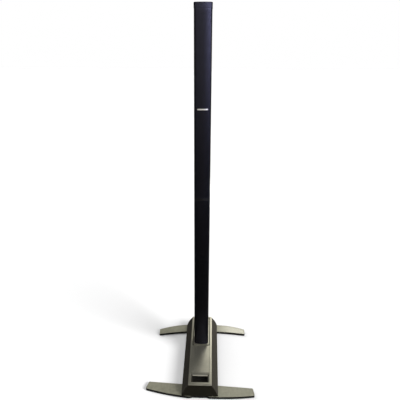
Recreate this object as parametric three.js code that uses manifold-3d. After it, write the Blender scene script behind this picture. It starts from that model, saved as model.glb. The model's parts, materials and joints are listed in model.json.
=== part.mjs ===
// Column PA system: a slim two-section loudspeaker column that plugs into a low power stand with four
// folding legs. Millimetres, +Z up, the front faces -Y, and the origin is on the floor under the column's axis.
import * as THREE from "three";
import { mergeVertices } from "three/addons/utils/BufferGeometryUtils.js";
import Module from "manifold-3d";

const wasm = await Module();
wasm.setup();

// ---- Driving dimensions -------------------------------------------------------------------------------
const seatGap = 0.4; // between pieces that rest on or against each other
const slideGap = 0.8; // between a piece that lifts out and the pocket it stands in

// Heights above the floor
const totalHeight = 2160;
const padHeight = 3.6;
const legThickness = 17;
const legRunningGap = 1;
const panThickness = 3;
const panMargin = 1.6; // the pan's edge to the inside of the shell
const shellHeight = 69; // from the shell's lower edge to the seat of the top frame
const deckDrop = 3; // the deck lies this far below the top frame's seat
const deckThickness = 3;
const frameHeight = 5.6;
const panelThickness = 3.2;
const collarHeight = 8;
const contactHeight = 6;

// Power stand in plan
const shoulderWidth = 38.7; // from the top frame's edge out to the shell's lower edge
const shellFront = -406.5;
const shellRear = 244;
const shellWall = 3;
const shellCorner = 9;
const sideBulge = 4.8; // how far each side's arc stands out from its chord
const frontRake = 12.5; // how far the front face leans back over its height
const rearRake = 4;
const frameSideWidth = 13;
const frameEndWidth = 20;
const frameRearWidth = 12;
const frameCorner = 5;
const grooveWidth = 5; // dark channel between the socket collar and its neighbours
const panelSeam = 2.4; // and between the collar and the front panel
const collarFrontWidth = 5.6; // collar material in front of the column
const collarRib = 5.7; // and beside it
const ioFrontGap = 12; // column to connector panel
const ioRearGap = 7;
const gripLength = 62; // length of the hand grip's opening along Y
const gripArm = 4.5; // width of the panel's arms on both sides of the opening
const gripDepth = 46;
const linerWall = 2.5;
const lipDrop = 9; // how far the front panel's lip curls down into the grip
const lipLength = 28;
const lipTaper = 3; // how much each side of the lip draws in

// Legs
const spineHalf = 18; // half width of the stand's centre spine
const spineGap = 4; // spine to the legs' round roots
// Outline of a leg seen from above, along +X from its pivot: the root's radius, the control points that bend its
// outer and inner edges, the tip's half widths and how much further the tip's outer corner reaches than its inner.
const frontLeg = { length: 258.5, root: 44, outer: [140, 46], inner: [131, 35], tip: [27, 26], skew: 3 };
const rearLeg = { length: 244, root: 36, outer: [125, 57], inner: [125, 21], tip: [27, 22.5], skew: -3 };
const legTipRadius = 6;
const legRim = 7; // width of the raised rim round a leg's top
const legTray = 1.2; // depth of the tray inside the rim
const pivotRadius = 6;
const pivotHeadRadius = 13;
const pivotHeadHeight = 4;
const runningClearance = 0.4;
const legPadLength = 34;
const legPadInset = 6;
const centreFootRadius = 15;

// Column
const columnWidth = 92;
const columnDepth = 92;
const frontCrown = 130; // radius of the column's gently rounded front
const frontCornerRadius = 15;
const backCornerRadius = 10;
const splitY = 4; // the grille ends and the housing begins here
const grilleThickness = 1.6;
const housingWall = 3.5;
const railDepth = 6;
const jointHeight = 1126; // where the lower section ends
const jointGap = 1.2;
const jointFlange = 12;
const spigotHalf = 30;
const jointSocketDepth = 46;
const jointSocketFloor = 2;
const capHeight = 29;
const capOverhang = 1.1;
const capPlug = 12;
const badgeWidth = 58;
const badgeHeight = 8;
const badgeThickness = 2;

// Drivers: each section holds pairs of small drivers on a common baffle
const pairsPerSection = 6;
const driverRadius = 29;
const driverDepth = 40;
const baffleThickness = 3;
const baffleSetback = 18; // grille front to baffle front
const pairMargin = 1;

// Worked-out heights
const legBottom = padHeight + seatGap;
const legTop = legBottom + legThickness;
const centreFootTop = padHeight + 1.4;
const panBottom = legTop + legRunningGap;
const panTop = panBottom + panThickness;
const shellTop = panBottom + shellHeight;
const deckTop = shellTop - deckDrop;
const deckBottom = deckTop - deckThickness;
const frameBottom = shellTop + seatGap;
const frameTop = frameBottom + frameHeight;
const onDeck = deckTop + seatGap;
const collarTop = onDeck + collarHeight;

// Worked-out plan
const columnFront = -columnDepth / 2;
const columnHalf = columnWidth / 2;
const collarHalf = columnHalf + slideGap + collarRib;
const frameInnerHalf = collarHalf + grooveWidth;
const frameHalfWidth = frameInnerHalf + frameSideWidth;
const shellHalfWidth = frameHalfWidth + shoulderWidth;
const pivotX = spineHalf + spineGap + frontLeg.root;
const frontPivotY = shellFront + frontLeg.root - 1;
const rearPivotY = shellRear - rearLeg.root;
const frameFront = shellFront + frontRake;
const frameRear = shellRear - rearRake;
const gripFront = frameFront + frameEndWidth;
const gripRear = gripFront + gripLength;
const gripHalf = frameInnerHalf - gripArm;
const lipStart = gripRear + lipLength;
const collarFront = columnFront - slideGap - collarFrontWidth;
const collarRear = frameRear - frameRearWidth - grooveWidth;
const panelRear = collarFront - panelSeam;
const ioFront = columnDepth / 2 + slideGap + ioFrontGap;
const ioRear = collarRear - ioRearGap;
const ioHalf = columnHalf + slideGap;

// ---- Materials ----------------------------------------------------------------------------------------
const paint = (color, roughness, metalness = 0) =>
  new THREE.MeshStandardMaterial({ color, roughness, metalness });
const charcoal = paint(0x24231f, 0.62);
const taupe = paint(0x8a8878, 0.42, 0.45);
const legGrey = paint(0x86847a, 0.5, 0.35);
const grilleBlack = paint(0x101014, 0.55, 0.4);
const housingBlack = paint(0x0d0d0e, 0.5, 0.3);
const matteBlack = paint(0x141413, 0.8);
const rubber = paint(0x0b0b0b, 0.92);
const steel = paint(0x9a9a9a, 0.35, 0.9);
const silver = paint(0xc9c9cc, 0.3, 0.8);
const boardGreen = paint(0x1d4a32, 0.6);
const coneGrey = paint(0x26262a, 0.85);

// ---- Solids -------------------------------------------------------------------------------------------
// A closed geometry as a manifold-3d solid.
function solidOf(geometry) {
  const loose = geometry.index ? geometry.toNonIndexed() : geometry;
  const bare = new THREE.BufferGeometry();
  bare.setAttribute("position", loose.getAttribute("position"));
  const merged = mergeVertices(bare, 1e-3);
  return new wasm.Manifold(
    new wasm.Mesh({
      numProp: 3,
      vertProperties: merged.attributes.position.array,
      triVerts: new Uint32Array(merged.index.array),
    }),
  );
}

// A manifold-3d solid as a three.js geometry.
function geometryOf(solid) {
  const mesh = solid.getMesh();
  const geometry = new THREE.BufferGeometry();
  geometry.setAttribute("position", new THREE.BufferAttribute(new Float32Array(mesh.vertProperties), 3));
  geometry.setIndex(new THREE.BufferAttribute(new Uint32Array(mesh.triVerts), 1));
  geometry.computeVertexNormals();
  return geometry;
}

const part = new THREE.Group();

function add(name, solid, material, parent = part) {
  const mesh = new THREE.Mesh(geometryOf(solid), material);
  mesh.name = name;
  parent.add(mesh);
  return mesh;
}

// A flat shape carried along one axis. Its own axes are X,Y for Z; X,Z for Y; and Y,Z for X.
function prism(shape, axis, from, to, curveSegments = 8) {
  const geometry = new THREE.ExtrudeGeometry(shape, { depth: to - from, bevelEnabled: false, curveSegments });
  if (axis === "z") geometry.translate(0, 0, from);
  if (axis === "y") geometry.rotateX(Math.PI / 2).translate(0, to, 0);
  if (axis === "x") {
    const turn = new THREE.Matrix4().makeBasis(
      new THREE.Vector3(0, 1, 0),
      new THREE.Vector3(0, 0, 1),
      new THREE.Vector3(1, 0, 0),
    );
    geometry.applyMatrix4(turn).translate(from, 0, 0);
  }
  return solidOf(geometry);
}

// A box between two corners.
function block(x0, y0, z0, x1, y1, z1) {
  const box = new THREE.BoxGeometry(x1 - x0, y1 - y0, z1 - z0);
  box.translate((x0 + x1) / 2, (y0 + y1) / 2, (z0 + z1) / 2);
  return solidOf(box);
}

// A cylinder standing on the XY plane of the point given.
function rod(radius, x, y, z0, z1, segments = 24) {
  const cylinder = new THREE.CylinderGeometry(radius, radius, z1 - z0, segments);
  cylinder.rotateX(Math.PI / 2).translate(x, y, (z0 + z1) / 2);
  return solidOf(cylinder);
}

// A profile of [radius, height] pairs, from the lowest point on the axis to the highest, turned about +Z.
function turned(profile, segments = 24) {
  const points = profile.map(([r, h]) => new THREE.Vector2(r, h));
  return solidOf(new THREE.LatheGeometry(points, segments).rotateX(Math.PI / 2));
}

function polygon(points) {
  return new THREE.Shape(points.map(([x, y]) => new THREE.Vector2(x, y)));
}

function roundedRectangle(x0, y0, x1, y1, r) {
  const shape = new THREE.Shape();
  shape.absarc(x1 - r, y0 + r, r, -Math.PI / 2, 0);
  shape.absarc(x1 - r, y1 - r, r, 0, Math.PI / 2);
  shape.absarc(x0 + r, y1 - r, r, Math.PI / 2, Math.PI);
  shape.absarc(x0 + r, y0 + r, r, Math.PI, 1.5 * Math.PI);
  return shape;
}

const roundedBlock = (x0, y0, x1, y1, r, z0, z1, segments = 4) =>
  prism(roundedRectangle(x0, y0, x1, y1, r), "z", z0, z1, segments);

// ---- Power stand: shell, pan and top pieces -------------------------------------------------------------
// The shell's cross-section: each side is one gentle arc from the lower edge up to the top frame.
function shoulderShape(inset, bottom, top) {
  const half = shellHalfWidth - inset;
  const flat = frameHalfWidth - inset;
  const bulgeX = (half + flat) / 2 + 2 * sideBulge;
  const bulgeZ = (bottom + top) / 2 + sideBulge;
  const shape = new THREE.Shape();
  shape.moveTo(-half, bottom);
  shape.lineTo(half, bottom);
  shape.quadraticCurveTo(bulgeX, bulgeZ, flat, top);
  shape.lineTo(-flat, top);
  shape.quadraticCurveTo(-bulgeX, bulgeZ, -half, bottom);
  return shape;
}

// The stand's outer form: shoulders along Y, raked ends along X and rounded corners along Z, all in common.
function standForm(inset, bottom, top) {
  const front = shellFront + inset;
  const rear = shellRear - inset;
  const side = polygon([
    [front, bottom],
    [rear, bottom],
    [rear - rearRake, top],
    [front + frontRake, top],
  ]);
  const half = shellHalfWidth - inset;
  return prism(shoulderShape(inset, bottom, top), "y", front, rear, 7)
    .intersect(prism(side, "x", -half, half))
    .intersect(roundedBlock(-half, front, half, rear, shellCorner - inset, bottom, top));
}

function columnShape(inset) {
  const half = columnWidth / 2;
  const crownCentre = columnFront + frontCrown;
  const cornerX = half - frontCornerRadius;
  const reach = frontCrown - frontCornerRadius;
  const sweep = Math.asin(cornerX / reach);
  const cornerY = crownCentre - reach * Math.cos(sweep);
  const backX = half - backCornerRadius;
  const backY = columnDepth / 2 - backCornerRadius;
  const down = -Math.PI / 2;
  const shape = new THREE.Shape();
  shape.absarc(0, crownCentre, frontCrown - inset, down - sweep, down + sweep);
  shape.absarc(cornerX, cornerY, frontCornerRadius - inset, down + sweep, 0);
  shape.absarc(backX, backY, backCornerRadius - inset, 0, Math.PI / 2);
  shape.absarc(-backX, backY, backCornerRadius - inset, Math.PI / 2, Math.PI);
  shape.absarc(-cornerX, cornerY, frontCornerRadius - inset, Math.PI, 1.5 * Math.PI - sweep);
  return shape;
}

const columnPrism = (inset, z0, z1) => prism(columnShape(inset), "z", z0, z1, 5);

function baseShell() {
  const cavity = standForm(shellWall, panBottom - 1, deckBottom);
  const recess = roundedBlock(
    -frameInnerHalf,
    gripFront,
    frameInnerHalf,
    frameRear - frameRearWidth,
    2,
    deckTop,
    shellTop + 1,
  );
  const gripHole = block(-gripHalf, gripFront + linerWall, deckBottom - 1, gripHalf, gripRear, deckTop + 1);
  const lipHole = block(-frameInnerHalf, gripRear, deckBottom - 1, frameInnerHalf, lipStart, deckTop + 1);
  const columnHole = columnPrism(-slideGap, deckBottom - 1, deckTop + 1);
  const ioHole = block(-ioHalf + 4, ioFront + 4, deckBottom - 1, ioHalf - 4, ioRear - 4, deckTop + 1);
  return standForm(0, panBottom, shellTop)
    .subtract(cavity)
    .subtract(recess)
    .subtract(gripHole)
    .subtract(lipHole)
    .subtract(columnHole)
    .subtract(ioHole);
}

// Floor plate of the stand with the legs' pivot bosses. Its spine fills the space between the legs' round roots.
function basePan() {
  const inset = shellWall + panMargin;
  const plate = roundedBlock(-shellHalfWidth + inset, shellFront + inset, shellHalfWidth - inset,
    shellRear - inset, shellCorner - inset, panBottom, panTop);
  const pivots = [-pivotX, pivotX].flatMap((x) => [
    { x, y: frontPivotY, root: frontLeg.root },
    { x, y: rearPivotY, root: rearLeg.root },
  ]);
  const bottom = centreFootTop + seatGap;
  const bar = (half, y0, y1) => block(-half, y0, bottom, half, y1, panBottom);
  let spine = bar(spineHalf, frontPivotY, rearPivotY)
    .add(bar(pivotX, shellFront + 4, frontPivotY))
    .add(bar(pivotX, rearPivotY, shellRear - 4));
  for (const { x, y, root } of pivots) {
    spine = spine.subtract(rod(root + spineGap, x, y, bottom - 1, panBottom));
  }
  const boss = (x, y) => rod(pivotRadius + 8, x, y, panTop - 1, panTop + 11);
  const hole = (x, y) => rod(pivotRadius + runningClearance, x, y, panBottom - 1, panTop + 9);
  let pan = plate.add(spine);
  for (const { x, y } of pivots) pan = pan.add(boss(x, y)).subtract(hole(x, y));
  return pan;
}

// Rim of the stand's top: a flat bar round the recess, with a small chamfer on its outer edge.
function topFrame() {
  const chamfer = 1.6;
  const outer = (inset, z0, z1) =>
    roundedBlock(-frameHalfWidth + inset, frameFront + inset, frameHalfWidth - inset, frameRear - inset,
      frameCorner - inset, z0, z1);
  const inner = roundedBlock(-frameInnerHalf, gripFront, frameInnerHalf, frameRear - frameRearWidth, 2,
    frameBottom - 1, frameTop + 1);
  const body = outer(0, frameBottom, frameTop - chamfer).add(outer(chamfer / 2, frameTop - chamfer, frameTop));
  return body.subtract(inner);
}

// The panel between the grip and the column. Its front edge curls down as a tapered lip over the grip, and an arm
// on each side runs forward to the frame's front bar.
function frontPanel() {
  const top = onDeck + panelThickness;
  const lipEnd = 2.6;
  const half = frameInnerHalf - seatGap;
  const profile = new THREE.Shape();
  profile.moveTo(lipStart, onDeck);
  profile.lineTo(panelRear, onDeck);
  profile.lineTo(panelRear, top);
  profile.lineTo(lipStart, top);
  profile.absellipse(lipStart, top - lipDrop, lipLength, lipDrop, Math.PI / 2, Math.PI);
  profile.lineTo(gripRear + lipEnd, top - lipDrop);
  profile.absellipse(lipStart, top - lipDrop, lipLength - lipEnd, lipDrop - panelThickness, Math.PI, Math.PI / 2, true);
  const plan = polygon([
    [-gripHalf + lipTaper, gripRear - 1],
    [gripHalf - lipTaper, gripRear - 1],
    [gripHalf, lipStart - 1],
    [half, lipStart - 1],
    [half, panelRear],
    [-half, panelRear],
    [-half, lipStart - 1],
    [-gripHalf, lipStart - 1],
  ]);
  const arm = (x0, x1) => block(x0, gripFront + linerWall, onDeck, x1, lipStart + 1, top);
  return prism(profile, "x", -half, half)
    .intersect(prism(plan, "z", 0, shellTop + 20))
    .add(arm(-half, -gripHalf))
    .add(arm(gripHalf, half));
}

// Open-topped pocket that a hand reaches into, hung under the deck.
function handleWell() {
  const top = deckBottom - seatGap;
  const bottom = deckTop - gripDepth;
  const front = gripFront + linerWall;
  const rear = lipStart + linerWall;
  const wide = gripHalf + linerWall;
  return roundedBlock(-wide, front - linerWall, wide, rear, 4, bottom, top)
    .subtract(roundedBlock(-gripHalf, front, gripHalf, rear - linerWall, 3, bottom + linerWall, top + 1));
}

// Light-coloured moulding round the column's foot, which runs back on both sides of the connector panel.
function socketCollar() {
  const body = roundedBlock(-collarHalf, collarFront, collarHalf, collarRear, 9, onDeck, collarTop);
  const ioWindow = roundedBlock(-ioHalf, ioFront, ioHalf, ioRear, 2, onDeck - 1, collarTop + 1);
  return body.subtract(columnPrism(-slideGap, onDeck - 1, collarTop + 1)).subtract(ioWindow);
}

// The receiver that the column stands in: a close-fitting well with a floor.
function columnSocket() {
  const wall = 3;
  const floor = 4;
  const bottom = panTop + seatGap;
  return columnPrism(-slideGap - wall, bottom, deckBottom - seatGap).subtract(
    columnPrism(-slideGap, bottom + floor, deckTop),
  );
}

const socketFloor = panTop + seatGap + 4;
const columnBottom = socketFloor + seatGap;

function contactBlock() {
  const bottom = socketFloor + seatGap;
  let contacts = block(-22, -12, bottom, 22, 12, bottom + contactHeight - 2);
  for (const x of [-15, -5, 5, 15]) contacts = contacts.add(rod(2.2, x, 0, bottom + 3, bottom + contactHeight, 10));
  return contacts;
}

// ---- Legs ---------------------------------------------------------------------------------------------
// The leg's outline, drawn in by an inset. Its outer edge is towards +Y, or towards -Y if mirrored.
function legShape(leg, inset, mirrored) {
  const root = leg.root - inset;
  const tangent = ([x, y], side) => Math.atan2(y, x) + Math.acos(root / Math.hypot(x, y)) * side;
  const outer = [leg.outer[0], leg.outer[1] - inset];
  const inner = [leg.inner[0], inset - leg.inner[1]];
  const from = tangent(outer, 1);
  const to = tangent(inner, -1) + 2 * Math.PI;
  const cut = legTipRadius;
  const outerTip = [leg.length + leg.skew - inset, leg.tip[0] - inset];
  const innerTip = [leg.length - leg.skew - inset, inset - leg.tip[1]];
  const shape = new THREE.Shape();
  shape.absarc(0, 0, root, from, to);
  shape.quadraticCurveTo(...inner, innerTip[0] - cut, innerTip[1] - 0.6);
  shape.quadraticCurveTo(...innerTip, innerTip[0] + 0.3, innerTip[1] + cut);
  shape.lineTo(outerTip[0] - 0.3, outerTip[1] - cut);
  shape.quadraticCurveTo(...outerTip, outerTip[0] - cut, outerTip[1] + 0.6);
  shape.quadraticCurveTo(...outer, root * Math.cos(from), root * Math.sin(from));
  const points = shape.getPoints(7).slice(0, -1);
  return polygon(points.map((p) => [p.x, mirrored ? -p.y : p.y]));
}

// A raised pair of edges with a shallow tray between, cut from the leg's top.
function legSolid(leg, mirrored) {
  const body = prism(legShape(leg, 0, mirrored), "z", legBottom, legTop);
  const tray = prism(legShape(leg, legRim, mirrored), "z", legTop - legTray, legTop + 1);
  const bore = rod(pivotRadius + runningClearance, 0, 0, legBottom - 1, legTop + 1);
  const counterbore = rod(pivotHeadRadius + 1, 0, 0, legBottom - 1, legBottom + pivotHeadHeight + 2 * seatGap);
  return body.subtract(tray).subtract(bore).subtract(counterbore);
}

function legPad(leg) {
  const x1 = leg.length - legPadInset;
  const half = leg.tip[1] - legPadInset;
  return roundedBlock(x1 - legPadLength, -half, x1, half, 5, 0, padHeight);
}

function pivotBolt() {
  const headTop = legBottom + pivotHeadHeight;
  return turned([
    [0, legBottom],
    [pivotHeadRadius - 1, legBottom],
    [pivotHeadRadius, legBottom + 1],
    [pivotHeadRadius, headTop],
    [pivotRadius, headTop],
    [pivotRadius, panTop + 8],
    [0, panTop + 8],
  ]);
}

// Each leg's pivot, its bearing at rest in degrees from +X, and whether its outline is mirrored.
const legs = [
  ["front_left", -pivotX, frontPivotY, frontLeg, 172.2, false],
  ["front_right", pivotX, frontPivotY, frontLeg, 0, true],
  ["rear_left", -pivotX, rearPivotY, rearLeg, 192, true],
  ["rear_right", pivotX, rearPivotY, rearLeg, -8, false],
];

// ---- Connector panel ------------------------------------------------------------------------------------
// The rows run from the column to the rear: knobs, inputs, outputs, then mains, with equal gaps.
const inputX = 22;
const mainsX = -18;
const rockerX = 24;
const ioTop = onDeck + 2.6;
const connectorRadius = 11.5;
const connectorFlange = 2.5;
const mainsHalf = [14.5, 11.5];
const mainsFlange = 2;
const rockerHalfWidth = 6;
const rockerRadius = 10;
const knobRadius = 6.5;
const knobShaft = 3;
const rockerTilt = 8;

const rowHalves = [knobRadius, connectorRadius + connectorFlange, connectorRadius + connectorFlange,
  mainsHalf[1] + mainsFlange];
const rowGap = (ioRear - ioFront - 2 * rowHalves.reduce((sum, half) => sum + half)) / (rowHalves.length + 1);
const [knobY, inputY, outputY, mainsY] = rowHalves.map((half, i) =>
  ioFront + half + (i + 1) * rowGap + 2 * rowHalves.slice(0, i).reduce((sum, before) => sum + before, 0));

const around = (size) => size + seatGap;

function ioPanel() {
  const inset = seatGap;
  let panel = roundedBlock(-ioHalf + inset, ioFront + inset, ioHalf - inset, ioRear - inset, 2, onDeck, ioTop);
  for (const side of [-1, 1]) {
    panel = panel.subtract(rod(around(connectorRadius), side * inputX, inputY, onDeck - 1, ioTop + 1));
    panel = panel.subtract(rod(around(connectorRadius), side * inputX, outputY, onDeck - 1, ioTop + 1));
    panel = panel.subtract(rod(knobShaft + 0.6, side * inputX, knobY, onDeck - 1, ioTop + 1, 16));
  }
  const [mx, my] = mainsHalf.map(around);
  const rx = rockerHalfWidth + 0.6;
  const ry = rockerRadius + 0.6;
  return panel
    .subtract(block(mainsX - mx, mainsY - my, onDeck - 1, mainsX + mx, mainsY + my, ioTop + 1))
    .subtract(block(rockerX - rx, mainsY - ry, onDeck - 1, rockerX + rx, mainsY + ry, ioTop + 1));
}

// Three-pin microphone input: a flanged barrel whose insert has three small contact holes.
function microphoneInput() {
  const top = ioTop + seatGap;
  let jack = turned([
    [0, ioTop - 16],
    [connectorRadius, ioTop - 16],
    [connectorRadius, top],
    [connectorRadius + connectorFlange, top],
    [connectorRadius + connectorFlange, top + 1.6],
    [9.6, top + 1.6],
    [9.6, top - 4],
    [8, top - 4],
    [8, top + 0.4],
    [0, top + 0.4],
  ]);
  for (const turn of [90, 210, 330]) {
    const angle = THREE.MathUtils.degToRad(turn);
    jack = jack.subtract(rod(1.4, 4 * Math.cos(angle), 4 * Math.sin(angle), top - 8, top + 2, 10));
  }
  return jack;
}

// Round locking output: a keyed ring round a solid core.
function lockingOutput() {
  const top = ioTop + seatGap;
  return turned([
    [0, ioTop - 16],
    [connectorRadius, ioTop - 16],
    [connectorRadius, top],
    [connectorRadius + connectorFlange, top],
    [connectorRadius + connectorFlange, top + 1.6],
    [9.4, top + 1.6],
    [9.4, top - 5],
    [6.4, top - 5],
    [6.4, top + 1],
    [0, top + 1],
  ]);
}

// Appliance inlet: an open cavity with three contact blades standing in it.
function mainsInlet() {
  const [mx, my] = mainsHalf;
  const top = ioTop + seatGap;
  const body = block(-mx, -my, ioTop - 20, mx, my, top + 0.8);
  const flange = roundedBlock(-mx - mainsFlange, -my - mainsFlange, mx + mainsFlange, my + mainsFlange, 2, top,
    top + 1.6);
  const cavity = roundedBlock(-mx + 2.8, -my + 2.8, mx - 2.8, my - 2.8, 1.5, ioTop - 17, top + 2);
  let inlet = body.add(flange).subtract(cavity);
  for (const [x, y] of [[-7, -2], [0, 3], [7, -2]]) {
    inlet = inlet.add(block(x - 1, y - 2, ioTop - 17.5, x + 1, y + 2, top - 5));
  }
  return inlet;
}

// Rocker about the X axis: a disc cut off by its tilted top face.
function rocker() {
  const disc = prism(new THREE.Shape().absarc(0, 0, rockerRadius, 0, 2 * Math.PI), "x", -rockerHalfWidth,
    rockerHalfWidth, 14);
  const tool = new THREE.BoxGeometry(40, 40, 20).translate(0, 0, 12.4);
  tool.rotateX(THREE.MathUtils.degToRad(rockerTilt));
  const below = block(-20, -20, -30, 20, 20, -7);
  return disc.subtract(solidOf(tool)).subtract(below);
}

function trimKnob() {
  const bottom = ioTop + 0.6;
  let knob = turned([
    [0, ioTop - 12],
    [knobShaft, ioTop - 12],
    [knobShaft, bottom],
    [knobRadius, bottom],
    [knobRadius - 0.6, bottom + 9],
    [knobRadius - 1.4, bottom + 10],
    [0, bottom + 10],
  ]);
  knob = knob.subtract(block(-0.6, 1.5, bottom + 9.2, 0.6, knobRadius + 1, bottom + 11));
  return knob;
}

// ---- Electronics inside the stand -----------------------------------------------------------------------
const boardZ = panTop + 8;
const boardThickness = 1.6;
const insideGap = 6;
const transformerRadius = 50;
const transformerY = lipStart + linerWall + insideGap + transformerRadius;
const boardFront = transformerY + transformerRadius + insideGap;
const boardRear = columnFront - 2 * insideGap;

function amplifierBoard() {
  return block(-72, boardFront, boardZ, 72, boardRear, boardZ + boardThickness);
}

function heatSink() {
  const bottom = boardZ + boardThickness + seatGap;
  const front = boardFront + insideGap;
  const rear = boardRear - insideGap;
  let sink = block(-34, front, bottom, 34, rear, bottom + 5);
  for (let x = -32; x <= 32; x += 8) sink = sink.add(block(x - 1, front, bottom + 4, x + 1, rear, bottom + 34));
  return sink;
}

function toroidalTransformer() {
  const outer = transformerRadius;
  const hole = 14;
  const bottom = panTop + seatGap;
  const height = 42;
  const ease = 8;
  return turned([
    [hole, bottom + ease],
    [hole + ease, bottom],
    [outer - ease, bottom],
    [outer, bottom + ease],
    [outer, bottom + height - ease],
    [outer - ease, bottom + height],
    [hole + ease, bottom + height],
    [hole, bottom + height - ease],
    [hole, bottom + ease],
  ], 28);
}

// ---- Column ---------------------------------------------------------------------------------------------
const wide = columnWidth;
const frontHalfOf = (solid, z0, z1) => solid.intersect(block(-wide, -wide, z0 - 1, wide, splitY, z1 + 1));
const rearHalfOf = (solid, z0, z1) => solid.intersect(block(-wide, splitY + seatGap, z0 - 1, wide, wide, z1 + 1));

function tube(wall, z0, z1) {
  return columnPrism(0, z0, z1).subtract(columnPrism(wall, z0 - 1, z1 + 1));
}

const grille = (z0, z1) => frontHalfOf(tube(grilleThickness, z0, z1), z0, z1);

// A channel, open to the front; a pair of inner rails stiffens it as high as the drivers go.
function housing(z0, z1, railTop) {
  const outside = columnWidth / 2 - 1;
  const inside = columnWidth / 2 - housingWall - railDepth;
  return rearHalfOf(tube(housingWall, z0, z1), z0, z1)
    .add(block(inside, splitY + 16, z0, outside, splitY + 20, railTop))
    .add(block(-outside, splitY + 16, z0, -inside, splitY + 20, railTop));
}

const insideInset = housingWall + seatGap;

// Solid foot that stands on the socket's floor; a pocket in its underside clears the contact block.
function footPlug(top) {
  const clear = columnBottom + contactHeight + slideGap;
  return columnPrism(0.4, columnBottom, top).subtract(block(-24, -14, columnBottom - 1, 24, 14, clear));
}

function jointSocket() {
  const bottom = jointHeight - jointSocketDepth;
  const hole = spigotHalf + slideGap;
  return columnPrism(insideInset, bottom, jointHeight).subtract(
    roundedBlock(-hole, -hole, hole, hole, 6, bottom + jointSocketFloor, jointHeight + 1),
  );
}

function jointPlug() {
  const flangeBottom = jointHeight + jointGap;
  const spigot = roundedBlock(-spigotHalf, -spigotHalf, spigotHalf, spigotHalf, 6,
    jointHeight - jointSocketDepth + jointSocketFloor + seatGap, flangeBottom + 1);
  return columnPrism(0, flangeBottom, flangeBottom + jointFlange).add(spigot);
}

function topCap() {
  const bottom = totalHeight - capHeight;
  const edge = 2.4;
  return columnPrism(-capOverhang, bottom, totalHeight - edge)
    .add(columnPrism(-capOverhang + 1.4, totalHeight - edge - 0.5, totalHeight))
    .add(columnPrism(insideInset, bottom - capPlug, bottom + 1));
}

// A plain bar that follows the front's curve, raised just off the grille.
function badge(middle) {
  const z0 = middle - badgeHeight / 2;
  const z1 = middle + badgeHeight / 2;
  const skin = columnPrism(-seatGap - badgeThickness, z0, z1).subtract(columnPrism(-seatGap, z0 - 1, z1 + 1));
  return skin.intersect(block(-badgeWidth / 2, -wide, z0 - 1, badgeWidth / 2, 0, z1 + 1));
}

// One driver, turned about +Z: cone, surround, basket and magnet, its front face at zero.
function driverProfile() {
  return turned([
    [0, -driverDepth],
    [19, -driverDepth],
    [19, -22],
    [driverRadius, -baffleThickness],
    [driverRadius, 0],
    [25, 0],
    [9, -13],
    [0, -10],
  ], 12);
}

// Two drivers on one baffle, facing -Y, centred on the height given.
function driverPair(z0, z1) {
  const front = columnFront + baffleSetback;
  const half = columnWidth / 2 - housingWall - 3;
  const centres = [z0 + (z1 - z0) * 0.25, z0 + (z1 - z0) * 0.75];
  let pair = block(-half, front, z0 + pairMargin, half, front + baffleThickness, z1 - pairMargin);
  for (const z of centres) {
    const facing = solidOf(geometryOf(driverProfile()).rotateX(Math.PI / 2).translate(0, front, z));
    const opening = solidOf(
      new THREE.CylinderGeometry(driverRadius - 1, driverRadius - 1, 20, 12).translate(0, front, z),
    );
    pair = pair.subtract(opening).add(facing);
  }
  return pair;
}

function addDriverPairs(section, from, to, parent) {
  const step = (to - from) / pairsPerSection;
  for (let i = 0; i < pairsPerSection; i++) {
    const z0 = from + i * step;
    add(`${section}_driver_pair_${i + 1}`, driverPair(z0, z0 + step), coneGrey, parent);
  }
}

// ---- Assembly -------------------------------------------------------------------------------------------
add("base_pan", basePan(), matteBlack);
add("base_shell", baseShell(), charcoal);
add("top_frame", topFrame(), taupe);
add("front_panel", frontPanel(), taupe);
add("handle_well", handleWell(), matteBlack);
add("socket_collar", socketCollar(), taupe);
add("column_socket", columnSocket(), matteBlack);
add("contact_block", contactBlock(), steel);
add("io_panel", ioPanel(), charcoal);
add("centre_foot", rod(centreFootRadius, 0, 0, 0, centreFootTop, 32), rubber);

for (const [name, x, y, leg, bearing, mirrored] of legs) {
  const hinge = new THREE.Group();
  hinge.position.set(x, y, 0);
  hinge.rotation.z = THREE.MathUtils.degToRad(bearing);
  part.add(hinge);
  add(`${name}_leg`, legSolid(leg, mirrored), legGrey, hinge);
  add(`${name}_leg_pad`, legPad(leg), rubber, hinge);
  add(`${name}_pivot_bolt`, pivotBolt(), steel).position.set(x, y, 0);
}

add("channel_1_input", microphoneInput(), matteBlack).position.set(-inputX, inputY, 0);
add("channel_2_input", microphoneInput(), matteBlack).position.set(inputX, inputY, 0);
add("bass_output", lockingOutput(), matteBlack).position.set(-inputX, outputY, 0);
add("remote_socket", lockingOutput(), matteBlack).position.set(inputX, outputY, 0);
add("channel_1_trim_knob", trimKnob(), matteBlack).position.set(-inputX, knobY, 0);
add("channel_2_trim_knob", trimKnob(), matteBlack).position.set(inputX, knobY, 0);
add("mains_inlet", mainsInlet(), matteBlack).position.set(mainsX, mainsY, 0);
add("power_rocker", rocker(), matteBlack).position.set(rockerX, mainsY, ioTop);

add("amplifier_board", amplifierBoard(), boardGreen);
add("heat_sink", heatSink(), steel);
add("toroidal_transformer", toroidalTransformer(), steel).position.set(0, transformerY, 0);

const footPlugTop = collarTop - 6;
const lowerBottom = footPlugTop + seatGap;
const upperBottom = jointHeight + jointGap + jointFlange + seatGap;
const upperTop = totalHeight - capHeight - seatGap;
const lowerInside = jointHeight - jointSocketDepth - seatGap;
const upperInside = totalHeight - capHeight - capPlug - seatGap;
add("lower_foot_plug", footPlug(footPlugTop), matteBlack);
add("lower_housing", housing(lowerBottom, jointHeight, lowerInside), housingBlack);
add("lower_grille", grille(lowerBottom, jointHeight), grilleBlack);
add("joint_socket", jointSocket(), matteBlack);
addDriverPairs("lower", lowerBottom, lowerInside, part);

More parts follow.
